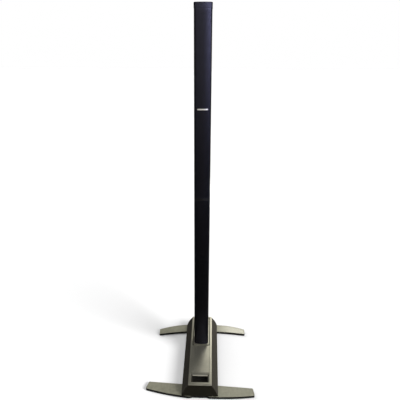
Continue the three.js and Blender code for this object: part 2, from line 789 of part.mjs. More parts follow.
add("upper_joint_plug", jointPlug(), housingBlack);
add("upper_housing", housing(upperBottom, upperTop, upperInside), housingBlack);
add("upper_grille", grille(upperBottom, upperTop), grilleBlack);
add("top_cap", topCap(), housingBlack);
add("badge", badge((jointHeight + jointGap + totalHeight) / 2), silver);
addDriverPairs("upper", upperBottom, upperInside, part);

export default part;
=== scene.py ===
"""Column PA system: two grilled loudspeaker sections plugged into a low power stand on four folding legs.

Metres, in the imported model's frame: +Z up, the front faces -Y and the origin is on the floor under the column.
"""

import json
import math

import bmesh
import bpy
import numpy as np
from bpy.props import FloatProperty, FloatVectorProperty, PointerProperty
from bpy.types import Operator, Panel, PropertyGroup
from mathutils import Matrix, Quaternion, Vector


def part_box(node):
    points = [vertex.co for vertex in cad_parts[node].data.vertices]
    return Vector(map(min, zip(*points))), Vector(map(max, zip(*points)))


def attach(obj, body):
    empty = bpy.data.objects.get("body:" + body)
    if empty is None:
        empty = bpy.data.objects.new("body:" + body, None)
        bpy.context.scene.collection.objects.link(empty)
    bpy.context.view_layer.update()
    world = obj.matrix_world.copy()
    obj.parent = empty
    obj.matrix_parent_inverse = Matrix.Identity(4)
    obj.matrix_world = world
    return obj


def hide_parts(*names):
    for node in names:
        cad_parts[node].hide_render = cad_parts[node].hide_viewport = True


bl_info = {
    "name": "Column PA System",
    "version": (1, 0, 0),
    "blender": (4, 5, 0),
    "location": "View3D > Sidebar > Column PA",
    "description": "Builds the finished surfaces of a two-section loudspeaker column on a power stand",
    "category": "Add Mesh",
}

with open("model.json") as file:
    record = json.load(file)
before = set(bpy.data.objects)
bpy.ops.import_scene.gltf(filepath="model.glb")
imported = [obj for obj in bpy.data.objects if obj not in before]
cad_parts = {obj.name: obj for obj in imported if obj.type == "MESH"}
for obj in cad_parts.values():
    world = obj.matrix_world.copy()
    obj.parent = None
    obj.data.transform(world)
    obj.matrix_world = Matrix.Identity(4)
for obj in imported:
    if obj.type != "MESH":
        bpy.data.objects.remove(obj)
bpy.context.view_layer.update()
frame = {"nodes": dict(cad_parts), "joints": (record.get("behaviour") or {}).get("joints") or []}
JOINTS = {joint["name"]: joint for joint in frame["joints"]}
MM = 0.001
REST_GAP = 0.4 * MM  # between pieces that rest on each other


def low(node):
    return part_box(node)[0]


def high(node):
    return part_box(node)[1]


# ---- Sizes and colours ------------------------------------------------------------------------------------


def length(name, default, text):
    return FloatProperty(name=name, description=text, default=default, min=0.0, unit="LENGTH", precision=4)


def colour(name, default, text):
    return FloatVectorProperty(
        name=name, description=text, default=default, size=3, min=0.0, max=1.0, subtype="COLOR"
    )


class ColumnSizes(PropertyGroup):
    crown: length("Front crown", 0.130, "Radius of the column's gently rounded front")
    front_corner: length("Front corner", 0.015, "Radius of the column's front corners")
    back_corner: length("Back corner", 0.010, "Radius of the column's rear corners")
    hole_pitch: length("Hole pitch", 0.006, "Distance between the grille's holes across the column")
    hole: length("Hole", 0.0038, "Width of one hole of the grille")
    hole_depth: length("Hole depth", 0.0012, "Depth from the grille's face to the cloth behind it")
    wall: length("Housing wall", 0.0035, "Wall of the rear housing")
    groove: length("Rear groove", 0.003, "Width of the two grooves along the back")
    cap_edge: length("Cap edge", 0.0036, "Rounding of the cap's upper edge")


class StandSizes(PropertyGroup):
    bulge: length("Side bulge", 0.0048, "How far each side's arc stands out from its chord")
    corner: length("Shell corner", 0.006, "Rounding between the shell's sides and ends")
    wall: length("Shell wall", 0.003, "Wall of the shell")
    front_rake: length("Front rake", 0.0125, "How far the front face leans back over its height")
    rear_rake: length("Rear rake", 0.004, "How far the rear face leans forward over its height")
    deck_lip: length("Deck lip", 0.011, "Width of the deck seen inside the top frame")
    frame_side: length("Frame side", 0.013, "Width of the top frame's side bars")
    frame_front: length("Frame front", 0.020, "Width of the top frame's front bar, the hand grip")
    frame_rear: length("Frame rear", 0.012, "Width of the top frame's rear bar")
    grip_round: FloatProperty(
        name="Grip rounding", description="Front bar's rounding as a multiple of its sides'", default=2.6
    )
    frame_edge: length("Frame edge", 0.0030, "Rounding of the top frame's outer edge")


class LegSizes(PropertyGroup):
    front_root: length("Front root", 0.044, "Radius of a front leg's round root")
    rear_root: length("Rear root", 0.036, "Radius of a rear leg's round root")
    front_length: length("Front length", 0.2585, "Pivot to the tip of a front leg")
    rear_length: length("Rear length", 0.244, "Pivot to the tip of a rear leg")
    rim: length("Rim", 0.0062, "Width of the raised rim round a leg's top")
    tray: length("Tray", 0.0012, "Depth of the tray inside the rim")
    edge: length("Edge", 0.0012, "Rounding of the leg's edges")
    bore: length("Bore", 0.0064, "Radius of the pivot's bore")
    counterbore: length("Counterbore", 0.014, "Radius of the recess for the pivot bolt's head")


class Colours(PropertyGroup):
    trim: colour("Trim", (0.285, 0.277, 0.228), "Warm grey metallic paint of the stand's top")
    leg: colour("Leg", (0.184, 0.180, 0.133), "Warm grey paint of the legs")
    shell: colour("Shell", (0.0262, 0.0238, 0.0185), "Dark olive charcoal of the stand's shell")
    grille: colour("Grille", (0.0022, 0.0021, 0.0021), "Powder coat of the grilles")
    # Painted shade: the shell's colour darkened for its faces that look to the front, which get little light.
    end_cap: colour("End cap", (0.0105, 0.0094, 0.0066), "Front face of the stand's shell")
    lining: colour("Lining", (0.0095, 0.0088, 0.0070), "Lining of the hand grip and the column's socket")
    # Partly painted highlight: the band is plastic, and its colour is paler than the column's so that it shows
    # the light caught along the joint.
    joint: colour("Joint", (0.0068, 0.0068, 0.0076), "Plastic band between the column's sections")
    housing: colour("Housing", (0.0032, 0.0032, 0.0036), "Anodised housing of the column")
    sheen: colour("Sheen", (0.62, 0.63, 1.0), "Tint of the column's sheen")
    black: colour("Black", (0.0045, 0.0045, 0.0042), "Moulded black of connectors and linings")
    badge: colour("Badge", (0.62, 0.62, 0.64), "Brushed bar on the upper section")


class StageSettings(PropertyGroup):
    eye: FloatVectorProperty(
        name="Eye", description="Where the camera stands", default=(0.04536, -2.20318, 1.97757), unit="LENGTH"
    )
    aim: FloatVectorProperty(
        name="Aim", description="What the camera looks at", default=(-0.01282, 0.0, 1.11219), unit="LENGTH"
    )
    lean: FloatProperty(name="Lean", description="Roll of the camera", default=0.0036, subtype="ANGLE")
    lens: FloatProperty(name="Lens", description="Focal length in millimetres", default=36.25)
    sun: FloatProperty(name="Sun", description="Strength of the key light", default=3.34)
    sun_from: FloatVectorProperty(
        name="Sun from", description="Direction that the key light comes from", default=(0.70, -0.46, 0.55)
    )
    window: FloatProperty(name="Window", description="Power of the low light behind the stand", default=8.0)
    window_at: FloatVectorProperty(
        name="Window at", description="Where the low light stands", default=(0.36, 1.00, 0.75), unit="LENGTH"
    )
    reach: length("Floor reach", 30.0, "Half the width of the floor")


GROUPS = {
    "column": ColumnSizes,
    "stand": StandSizes,
    "leg": LegSizes,
    "colours": Colours,
    "stage": StageSettings,
}


def settings(name):
    return getattr(bpy.context.scene, "pa_" + name)


# ---- Materials --------------------------------------------------------------------------------------------


class Wire:
    """A number on a shader tree's socket. Arithmetic on wires adds Math nodes to their tree."""

    def __init__(self, tree, socket):
        self.tree = tree
        self.socket = socket

    def _maths(self, operation, *values, **extra):
        return self.tree.node("ShaderNodeMath", {"operation": operation, **extra}, list(values))

    def __add__(self, other):
        return self._maths("ADD", self, other)

    __radd__ = __add__

    def __sub__(self, other):
        return self._maths("SUBTRACT", self, other)

    def __rsub__(self, other):
        return self._maths("SUBTRACT", other, self)

    def __mul__(self, other):
        return self._maths("MULTIPLY", self, other)

    __rmul__ = __mul__

    def __pow__(self, other):
        return self._maths("POWER", self, other)

    def __rpow__(self, other):
        return self._maths("POWER", other, self)

    def at_least(self, other):
        return self._maths("MAXIMUM", self, other)

    def clipped(self):
        return self._maths("ADD", self, 0.0, use_clamp=True)


class Tree:
    """A node tree that is filled by one method. Inputs are a list in socket order or a dictionary by name."""

    def __init__(self, owner):
        owner.use_nodes = True
        self.nodes = owner.node_tree.nodes
        self.links = owner.node_tree.links
        self.nodes.clear()

    def node(self, kind, options=None, inputs=None, output=0):
        made = self.nodes.new(kind)
        for key, value in (options or {}).items():
            if key == "stops":
                ramp = made.color_ramp.elements
                for i, (place, shade) in enumerate(value):
                    stop = ramp[i] if i < 2 else ramp.new(place)
                    stop.position = place
                    stop.color = (*shade, 1.0)
            else:
                setattr(made, key, value)
        pairs = inputs.items() if isinstance(inputs, dict) else enumerate(inputs or [])
        for key, value in pairs:
            if isinstance(value, Wire):
                self.links.new(value.socket, made.inputs[key])
            elif value is not None:
                made.inputs[key].default_value = value
        return Wire(self, made.outputs[output]) if len(made.outputs) else None

    def noise(self, scale, detail=3.0, roughness=0.5, stretch=(1.0, 1.0, 1.0)):
        """Noise from 0 to 1 with about scale features to the metre, stretched along the axes."""
        place = self.node("ShaderNodeTexCoord", output="Object")
        if stretch != (1.0, 1.0, 1.0):
            place = self.node("ShaderNodeMapping", None, {"Vector": place, "Scale": stretch})
        knobs = {"Vector": place, "Scale": scale, "Detail": detail, "Roughness": roughness}
        return self.node("ShaderNodeTexNoise", None, knobs)

    def mixed(self, amount, first, second, blend="MIX"):
        """The colour first where amount is 0 and second where it is 1. ADD adds amount times the second."""
        rgba = [c if isinstance(c, Wire) else (*c, 1.0) for c in (first, second)]
        options = {"data_type": "RGBA", "blend_type": blend, "clamp_factor": blend == "MIX"}
        return self.node("ShaderNodeMix", options, {0: amount, 6: rgba[0], 7: rgba[1]}, output=2)

    def bumped(self, height, distance):
        """A normal tilted by a height from 0 to 1 that stands for the distance given, in metres."""
        return self.node("ShaderNodeBump", None, {"Strength": 1.0, "Distance": distance, "Height": height})


def shade(colour, factor):
    return tuple(min(1.0, c * factor) for c in colour)


def metallic_paint(colour, grain, wear, mottle, roughness, metal):
    """Warm metallic lacquer: fine flake, slow tone drift, blotches, orange peel, and wear in long faint rubs."""

    def make(tree):
        flake = tree.noise(2600.0, 1.0)
        drift = tree.noise(9.0, 2.0)
        rubs = tree.noise(60.0, 4.0, 0.6, (1.0, 0.16, 1.0))
        blotches = tree.noise(75.0, 3.0, 0.65) - 0.5
        tone = (drift * 0.55 + flake * 0.45 + blotches * mottle).clipped()
        base = tree.mixed(tone, shade(colour, 0.80), shade(colour, 1.22))
        worn = ((rubs - 0.60) * 6.0).clipped() * wear
        peel = tree.noise(grain, 2.0)
        rough = roughness + (drift - 0.5) * 0.12 + flake * 0.08 - worn * 0.1 + blotches * mottle * 0.1
        return {
            "Base Color": tree.mixed(worn, base, shade(colour, 1.7)),
            "Metallic": (metal + flake * 0.2).clipped(),
            "Roughness": rough.clipped(),
            "Normal": tree.bumped(peel * 0.7 + flake * 0.3, 0.00006),
            "Coat Weight": 0.25,
            "Coat Roughness": 0.22,
        }

    return make


def moulded(colour, roughness, grain=1400.0, depth=0.00012, scuffs=0.35, gloss=0.42):
    """Grained plastic: a fine pebbled skin, cloudy sheen, and scuffs that are paler and rougher."""

    def make(tree):
        pebbles = tree.node(
            "ShaderNodeTexVoronoi",
            {"feature": "SMOOTH_F1"},
            {"Vector": tree.node("ShaderNodeTexCoord", output="Object"), "Scale": grain, "Smoothness": 0.6},
        )
        clouds = tree.noise(14.0, 3.0)
        marks = ((tree.noise(85.0, 5.0, 0.62, (1.0, 0.25, 0.6)) - 0.62) * 7.0).clipped() * scuffs
        base = tree.mixed(clouds, shade(colour, 0.82), shade(colour, 1.2))
        return {
            "Base Color": tree.mixed(marks, base, shade(colour, 1.9)),
            "Roughness": (roughness + (clouds - 0.5) * 0.14 + marks * 0.12).clipped(),
            "Normal": tree.bumped(1.0 - pebbles, depth),
            "Specular IOR Level": gloss,
        }

    return make


def powder_coat(colour, roughness):
    """Powder coat on perforated sheet: a very fine orange peel and faint handling marks."""

    def make(tree):
        peel = tree.noise(1500.0, 2.0)
        handled = tree.noise(5.0, 3.0, 0.5, (1.0, 1.0, 0.4))
        return {
            "Base Color": tree.mixed(handled, shade(colour, 0.85), shade(colour, 1.2)),
            "Roughness": (roughness + (handled - 0.5) * 0.12 + (peel - 0.5) * 0.06).clipped(),
            "Normal": tree.bumped(peel, 0.00003),
            "Specular IOR Level": 0.42,
            "Specular Tint": (*settings("colours").sheen, 1.0),
        }

    return make


def brushed(colour, roughness, along=(0.05, 1.0, 1.0)):
    """Bare metal brushed along one axis: long fine lines in its sheen and in its height."""

    def make(tree):
        lines = tree.noise(1800.0, 3.0, 0.6, along)
        clouds = tree.noise(30.0, 2.0)
        return {
            "Base Color": tree.mixed(lines, shade(colour, 0.86), shade(colour, 1.08)),
            "Metallic": 1.0,
            "Roughness": (roughness + (lines - 0.5) * 0.16 + (clouds - 0.5) * 0.06).clipped(),
            "Normal": tree.bumped(lines, 0.00002),
        }

    return make


def rubbery(tree):
    """Matt black rubber with dust in its surface."""
    dust = tree.noise(240.0, 4.0, 0.65)
    base = tree.mixed(((dust - 0.5) * 2.0).clipped(), (0.0055, 0.0055, 0.0055), (0.022, 0.021, 0.019))
    return {
        "Base Color": base,
        "Roughness": (0.82 + (dust - 0.5) * 0.2).clipped(),
        "Normal": tree.bumped(dust, 0.00015),
    }


def cloth_behind(tree):
    """Black acoustic cloth at the bottom of the grille's holes."""
    weave = tree.noise(3000.0, 1.0)
    return {
        "Base Color": tree.mixed(weave, (0.0015, 0.0015, 0.0015), (0.004, 0.004, 0.004)),
        "Roughness": 0.95,
        "Specular IOR Level": 0.1,
    }


def circuit_board(tree):
    """Green lacquer over a copper pour, with pale islands."""
    islands = ((tree.noise(160.0, 2.0) - 0.52) * 30.0).clipped()
    return {
        "Base Color": tree.mixed(islands, (0.006, 0.05, 0.018), (0.012, 0.09, 0.03)),
        "Roughness": 0.3,
        "Normal": tree.bumped(islands, 0.00004),
    }


def paper_cone(tree):
    """Pressed black cone paper and dark baskets."""
    fibre = tree.noise(700.0, 5.0, 0.7)
    return {
        "Base Color": tree.mixed(fibre, (0.010, 0.010, 0.011), (0.026, 0.026, 0.028)),
        "Roughness": 0.85,
        "Normal": tree.bumped(fibre, 0.0001),
    }


def white_floor(tree):
    """Matt white of the stage's floor."""
    return {"Base Color": (0.86, 0.86, 0.86, 1.0), "Roughness": 0.9, "Specular IOR Level": 0.1}


# Each material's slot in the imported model, and its maker from the colours.
LOOKS = {
    "trim_paint": (
        "taupe_trim",
        lambda c: metallic_paint(c.trim, grain=700.0, wear=0.30, mottle=0.5, roughness=0.34, metal=0.74),
    ),
    "leg_paint": (
        "leg_paint",
        lambda c: metallic_paint(c.leg, grain=420.0, wear=0.45, mottle=1.8, roughness=0.52, metal=0.08),
    ),
    "shell_moulding": ("charcoal_shell", lambda c: moulded(c.shell, 0.60, gloss=0.14)),
    # Painted shade: the shell's moulding, darker and with less gloss, for the faces that look to the front.
    "end_cap_moulding": ("charcoal_shell", lambda c: moulded(c.end_cap, 0.72, gloss=0.05)),
    "housing_anodised": ("column_black", lambda c: powder_coat(c.housing, 0.44)),
    # The band's plastic, paler than the column as a painted highlight along the joint.
    "joint_plastic": ("column_black", lambda c: moulded(c.joint, 0.45, gloss=0.25)),
    "grille_coat": ("grille_black", lambda c: powder_coat(c.grille, 0.30)),
    "acoustic_cloth": ("grille_black", lambda c: cloth_behind),
    "black_moulding": ("matte_black", lambda c: moulded(c.black, 0.62, 1800.0, 0.00008, 0.2, 0.22)),
    "grip_lining": ("matte_black", lambda c: moulded(c.lining, 0.75, 900.0, 0.0002, 0.1)),
    "rubber": ("rubber", lambda c: rubbery),
    "plated_steel": ("steel", lambda c: brushed((0.50, 0.50, 0.50), 0.32)),
    "badge_metal": ("silver", lambda c: brushed(c.badge, 0.28)),
    "bare_aluminium": (None, lambda c: brushed((0.72, 0.72, 0.73), 0.38, (1.0, 0.05, 1.0))),
    "circuit_board": (None, lambda c: circuit_board),
    "winding_wrap": (None, lambda c: moulded((0.03, 0.03, 0.035), 0.5)),
    "cone_paper": (None, lambda c: paper_cone),
    "floor_white": (None, lambda c: white_floor),
}


FINISHES = {}


def look(name):
    """The finish of this name, made the first time that it is asked for."""
    if name not in FINISHES:
        material = bpy.data.materials.new(name)
        tree = Tree(material)
        make = LOOKS[name][1](settings("colours"))
        surface = tree.node("ShaderNodeBsdfPrincipled", None, make(tree))
        tree.node("ShaderNodeOutputMaterial", None, {"Surface": surface})
        FINISHES[name] = material
    return FINISHES[name]


# ---- Surfaces ---------------------------------------------------------------------------------------------


def set_mesh(mesh, points, polygons):
    """Fills a mesh from points (n, 3) and a list of index arrays, each holding polygons of one size."""
    sides = np.concatenate([np.full(len(p), p.shape[1], np.int32) for p in polygons])
    corners = np.concatenate([p.ravel() for p in polygons]).astype(np.int32)
    mesh.vertices.add(len(points))
    mesh.vertices.foreach_set("co", np.ascontiguousarray(points, np.float32).ravel())
    mesh.loops.add(len(corners))
    mesh.loops.foreach_set("vertex_index", corners)
    mesh.polygons.add(len(sides))
    mesh.polygons.foreach_set("loop_start", np.concatenate([[0], np.cumsum(sides)[:-1]]).astype(np.int32))
    mesh.polygons.foreach_set("loop_total", sides)
    mesh.update(calc_edges=True)


def shaded(mesh, angle=32.0):
    """Smooth shading that breaks at edges sharper than the angle."""
    mesh.polygons.foreach_set("use_smooth", np.ones(len(mesh.polygons), bool))
    mesh.set_sharp_from_angle(angle=math.radians(angle))
    return mesh


def facing_out(mesh):
    """Turns every face of a closed mesh outwards."""
    shape = bmesh.new()
    shape.from_mesh(mesh)
    bmesh.ops.remove_doubles(shape, verts=shape.verts, dist=1e-6)
    bmesh.ops.recalc_face_normals(shape, faces=shape.faces)
    shape.to_mesh(mesh)
    shape.free()
    return mesh


def piece(name, mesh, finish, body, *replaced, width=0.0, segments=2, angle=30.0, crisp=True):
    """Shows a mesh as a named piece that rides on a body and stands for the CAD nodes given. A width rounds its
    edges, and crisp lets the larger faces rule the shading at their corners."""
    mesh.name = name
    if not mesh.materials:
        mesh.materials.append(look(finish))
    made = bpy.data.objects.new(name, mesh)
    bpy.context.scene.collection.objects.link(made)
    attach(made, body)
    if replaced:
        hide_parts(*replaced)
    if width:
        bevel = made.modifiers.new("rounding", "BEVEL")
        bevel.width = width
        bevel.segments = segments
        bevel.limit_method = "ANGLE"
        bevel.angle_limit = math.radians(angle)
        bevel.use_clamp_overlap = True
    if crisp:
        made.modifiers.new("flat_faces_stay_flat", "WEIGHTED_NORMAL").keep_sharp = True


def ring_faces(count, around, closed):
    """Quads between count rings of around points each. closed joins the last ring to the first."""
    ring = np.arange(count if closed else count - 1)[:, None]
    step = np.arange(around)[None, :]
    after = (ring + 1) % count
    beside = (step + 1) % around
    return np.stack(
        [ring * around + step, ring * around + beside, after * around + beside, after * around + step], -1
    ).reshape(-1, 4)


def lofted(name, rings, closed=False):
    """A skin over rings, an array (rings, points, 3). Open lofts get a flat face over each end ring."""
    rings = np.asarray(rings, float)
    count, around = rings.shape[:2]
    polygons = [ring_faces(count, around, closed)]
    if not closed:
        polygons += [np.arange(around)[None, ::-1], (np.arange(around) + (count - 1) * around)[None, :]]
    mesh = bpy.data.meshes.new(name)
    set_mesh(mesh, rings.reshape(-1, 3), polygons)
    return facing_out(mesh)


def merged(name, meshes):
    """One mesh that holds all the meshes given."""
    shape = bmesh.new()
    for mesh in meshes:
        shape.from_mesh(mesh)
        bpy.data.meshes.remove(mesh)
    whole = bpy.data.meshes.new(name)
    shape.to_mesh(whole)
    shape.free()
    return whole


def arc(x, y, radius, start, end, steps):
    """Points on a circle's arc from start to end, in degrees."""
    turn = np.radians(np.linspace(start, end, steps + 1))
    return np.stack([x + radius * np.cos(turn), y + radius * np.sin(turn)], -1)


def plan_ring(half, front, rear, radius, z, steps=6, sides=(6, 24)):
    """A rounded rectangle seen from above: four quarter circles joined by straight sides of equal steps."""
    radius = max(radius, 1e-5)
    corners = [
        arc(half - radius, front + radius, radius, -90, 0, steps),
        arc(half - radius, rear - radius, radius, 0, 90, steps),
        arc(-half + radius, rear - radius, radius, 90, 180, steps),
        arc(-half + radius, front + radius, radius, 180, 270, steps),
    ]
    flat = []
    for i, corner in enumerate(corners):
        run = sides[(i + 1) % 2]
        share = np.linspace(0, 1, run + 1)[1:-1, None]
        flat += [corner, corner[-1] * (1 - share) + corners[(i + 1) % 4][0] * share]
    points = np.concatenate(flat)
    return np.column_stack([points, np.full(len(points), z)])


def quarter(steps=5):
    """Shares of a quarter ellipse from its side to its top: how far in, and how far up."""
    turn = np.linspace(0, math.pi / 2, steps + 1)
    return np.stack([1 - np.cos(turn), np.sin(turn)], -1)


def rounded_foot(edge, bottom, steps):
    """The inset and height of each ring of a rounded lower edge, from its underside up."""
    return [(edge * (1 - up), bottom + edge * inward) for inward, up in quarter(steps)]


def rounded_head(edge, top, steps):
    """The inset and height of each ring of a rounded upper edge, from its side up."""
    return [(edge * inward, top - edge + edge * up) for inward, up in quarter(steps)]


def turned(profile, centre, around, facing, lobes):
    """A profile of (radius, height) pairs turned about an axis through the centre. lobes(turn, radius, height)
    gives a factor on the radius, so that a knurl or a star follows the turn."""
    profile = np.asarray(profile, float)
    turn = np.linspace(0, 2 * math.pi, around, endpoint=False)
    radius = np.repeat(profile[:, :1], around, 1)
    height = np.repeat(profile[:, 1:], around, 1)
    radius = radius * lobes(turn[None, :], radius, height)
    across, up = radius * np.cos(turn), radius * np.sin(turn)
    axes = (across, up, height) if facing == "z" else (across, height, up)
    return np.stack(axes, -1) + np.array(centre)


def banded(mesh, finish, chosen):
    """Gives a second material to the faces that chosen(centres, normals) picks out."""
    count = len(mesh.polygons)
    centres, normals = np.zeros(count * 3, np.float32), np.zeros(count * 3, np.float32)
    mesh.polygons.foreach_get("center", centres)
    mesh.polygons.foreach_get("normal", normals)
    mesh.materials.append(look(finish))
    picked = chosen(centres.reshape(-1, 3), normals.reshape(-1, 3))
    mesh.polygons.foreach_set("material_index", picked.astype(np.int32))


def lathe(name, profile, centre, around, facing, lobes):
    """A profile turned about an axis and skinned over, as turned and lofted say."""
    return lofted(name, turned(profile, centre, around, facing, lobes))


def softened(name, node, finish, body, width, segments=2, angle=30.0):
    """A piece made from a CAD node: vertices merged, flat regions joined and edges rounded by the width."""
    mesh = frame["nodes"][node].data.copy()
    mesh.materials.clear()
    shape = bmesh.new()
    shape.from_mesh(mesh)
    bmesh.ops.remove_doubles(shape, verts=shape.verts, dist=2e-5)
    bmesh.ops.dissolve_limit(
        shape, angle_limit=math.radians(2.0), verts=shape.verts, edges=shape.edges, use_dissolve_boundaries=False
    )
    shape.to_mesh(mesh)
    shape.free()
    piece(name, shaded(mesh, angle), finish, body, node, width=width, segments=segments, angle=angle)


# ---- Column -----------------------------------------------------------------------------------------------

COLUMN_HALF = high("lower_grille").x
COLUMN_FRONT = low("lower_grille").y
COLUMN_BACK = high("lower_housing").y
SPLIT = high("lower_grille").y
JOINT_GAP = 1.2 * MM  # shadow line under the band between the sections
SHEET = 1.5 * MM  # from the grille's face to its back
SECTIONS = {
    "lower": ("lower_column", low("lower_grille").z, high("lower_grille").z),
    "upper": ("upper_column", low("upper_grille").z, high("upper_grille").z),
}


def front_arcs(inset=0.0):
    """The column's front half from left to right: the half width, and each arc's centre, radius and ends."""
    size = settings("column")
    centre = COLUMN_FRONT + size.crown
    corner_x = COLUMN_HALF - size.front_corner
    reach = size.crown - size.front_corner
    sweep = math.degrees(math.asin(corner_x / reach))
    corner_y = centre - math.sqrt(reach**2 - corner_x**2)
    return [
        (-corner_x, corner_y, size.front_corner - inset, 180, 270 - sweep),
        (0.0, centre, size.crown - inset, 270 - sweep, 270 + sweep),
        (corner_x, corner_y, size.front_corner - inset, 270 + sweep, 360),
    ]


def column_outline(inset):
    """The column's closed outline seen from above, drawn in by the inset: five arcs joined by flat sides."""
    size = settings("column")
    left, crown, right = front_arcs(inset)
    back_x = COLUMN_HALF - size.back_corner
    back_y = COLUMN_BACK - size.back_corner
    radius = size.back_corner - inset
    return np.concatenate(
        [
            arc(*crown, 28),
            arc(*right, 10)[1:],
            arc(back_x, back_y, radius, 0, 90, 10),
            arc(-back_x, back_y, radius, 90, 180, 10),
            arc(*left, 10)[:-1],
        ]
    )


def column_ring(inset, z):
    outline = column_outline(inset)
    return np.column_stack([outline, np.full(len(outline), z)])


def front_path():
    """Evenly spaced points along the column's front half, from left to right, with outward normals and the
    whole length. The half is sampled finely and read by its running length."""
    left, crown, right = front_arcs()
    fine = [
        np.stack([np.full(40, -COLUMN_HALF), np.linspace(SPLIT, left[1], 40)], -1),
        arc(*left, 80)[1:],
        arc(*crown, 300)[1:],
        arc(*right, 80)[1:],
        np.stack([np.full(40, COLUMN_HALF), np.linspace(right[1], SPLIT, 40)], -1)[1:],
    ]
    points = np.concatenate(fine)
    steps = np.linalg.norm(np.diff(points, axis=0), axis=1)
    run = np.concatenate([[0], np.cumsum(steps)])
    heading = np.gradient(points, run, axis=0)
    normal = np.stack([heading[:, 1], -heading[:, 0]], -1)
    normal /= np.linalg.norm(normal, axis=1)[:, None]

    def at(where):
        where = np.clip(where, 0, run[-1])
        place = np.stack([np.interp(where, run, points[:, i]) for i in (0, 1)], -1)
        out = np.stack([np.interp(where, run, normal[:, i]) for i in (0, 1)], -1)
        return place, out

    return at, run[-1]


def grille_mesh(name, bottom, top):
    """Perforated sheet round the column's front. Rows of cells lie on a grid of half a pitch across and one
    row up, each odd row shifted by half a pitch. A cell's six grid points join a six-sided hole, which sinks to
    a floor of cloth. The sheet's back is the same grid, and its four edges join the two."""
    size = settings("column")
    at, run = front_path()
    cells = round(run / size.hole_pitch)
    wide = 2 * cells + 1
    margin = size.hole_pitch
    row_height = size.hole_pitch * math.sqrt(3) / 2
    rows = round((top - bottom - 2 * margin) / row_height)
    across = np.linspace(0, run, wide)
    heights = np.concatenate([[bottom], np.linspace(bottom + margin, top - margin, rows + 1), [top]])
    tall = len(heights)

    def lifted(u, z, depth):
        place, out = at(u.ravel())
        place = place - out * np.broadcast_to(depth, u.shape).reshape(-1, 1)
        return np.column_stack([place, z.ravel()])

    grid_u, grid_z = np.meshgrid(across, heights)
    front = lifted(grid_u, grid_z, 0.0)
    back = lifted(grid_u, grid_z, SHEET)
    grid = np.arange(wide * tall).reshape(tall, wide)

    row = np.arange(rows)
    first = [np.arange(k % 2, wide - 2, 2) for k in row]
    cell_row = np.concatenate([np.full(len(f), k + 1) for k, f in zip(row, first)])
    cell_left = np.concatenate(first)
    corner = np.stack(
        [
            grid[cell_row, cell_left],
            grid[cell_row, cell_left + 1],
            grid[cell_row, cell_left + 2],
            grid[cell_row + 1, cell_left + 2],
            grid[cell_row + 1, cell_left + 1],
            grid[cell_row + 1, cell_left],
        ],
        -1,
    )
    centre_u = across[cell_left + 1][:, None]
    centre_z = ((heights[cell_row] + heights[cell_row + 1]) / 2)[:, None]
    turn = np.radians([210, 270, 330, 30, 90, 150])[None, :]
    rims = []
    for radius, depth in ((0.5, 0.0), (0.46, 1.0)):
        u = centre_u + size.hole * radius * np.cos(turn)
        z = centre_z + size.hole * radius * np.sin(turn)
        rims.append(lifted(u, z, size.hole_depth * depth))
    count = len(cell_left)
    edge = wide * tall * 2 + np.arange(count * 6).reshape(count, 6)
    floor = edge + count * 6
    turn_on = np.roll(np.arange(6), -1)

    def band(outer, inner):
        return np.stack([outer, outer[:, turn_on], inner[:, turn_on], inner], -1).reshape(-1, 4)

    def flat_cells(rows_of, lefts):
        lower, upper = grid[rows_of, lefts], grid[rows_of + 1, lefts]
        return np.stack([lower, grid[rows_of, lefts + 1], grid[rows_of + 1, lefts + 1], upper], -1)

    odd = row[row % 2 == 1] + 1
    ends = np.concatenate([flat_cells(odd, np.zeros_like(odd)), flat_cells(odd, np.full_like(odd, wide - 2))])
    lone = np.arange(wide - 1)
    strips = np.concatenate([flat_cells(np.full_like(lone, k), lone) for k in (0, tall - 2)])
    behind = grid + wide * tall
    every_row, every_left = np.meshgrid(np.arange(tall - 1), lone, indexing="ij")
    back_faces = flat_cells(every_row.ravel(), every_left.ravel())[:, ::-1] + wide * tall

    def joined(line, line_behind):
        return np.stack([line[:-1], line_behind[:-1], line_behind[1:], line[1:]], -1)

    sides = [
        joined(grid[0], behind[0]),
        joined(grid[-1], behind[-1])[:, ::-1],
        joined(grid[:, -1], behind[:, -1]),
        joined(grid[:, 0], behind[:, 0])[:, ::-1],
    ]
    skin = [band(corner, edge), ends, strips, band(edge, floor), back_faces, *sides]
    mesh = bpy.data.meshes.new(name)
    set_mesh(mesh, np.concatenate([front, back, *rims]), [np.concatenate(skin), floor])
    mesh.materials.append(look("grille_coat"))
    mesh.materials.append(look("acoustic_cloth"))
    cloth = np.zeros(len(mesh.polygons), np.int32)
    cloth[-count:] = 1
    mesh.polygons.foreach_set("material_index", cloth)
    lay_map(mesh)
    return shaded(mesh, 40.0)


def lay_map(mesh):
    """A map for a tall sheet: its height runs along the map in strips side by side, and its width across them.
    Each corner's place comes from its angle round the column and its height."""
    count = len(mesh.loops)
    vertex = np.zeros(count, np.int32)
    mesh.loops.foreach_get("vertex_index", vertex)
    points = np.zeros(len(mesh.vertices) * 3, np.float32)
    mesh.vertices.foreach_get("co", points)
    points = points.reshape(-1, 3)
    turn = np.arctan2(points[:, 0], -(points[:, 1] - SPLIT - 0.002))
    tall = points[:, 2]
    share = (tall - tall.min()) / max(np.ptp(tall), 1e-6)
    start = np.zeros(len(mesh.polygons), np.int32)
    mesh.polygons.foreach_get("loop_start", start)
    total = np.zeros(len(mesh.polygons), np.int32)
    mesh.polygons.foreach_get("loop_total", total)
    strips = 5
    middle = share[vertex[start]]
    strip = np.repeat(np.clip(np.floor(middle * strips), 0, strips - 1), total)
    along = (share[vertex] * strips - strip) * 0.96 + 0.02
    across = (strip + 0.04 + 0.92 * (turn[vertex] / math.pi + 0.5).clip(0, 1)) / strips
    layer = mesh.uv_layers.new(name="OFBake")
    layer.uv.foreach_set("vector", np.stack([across, along], -1).astype(np.float32).ravel())


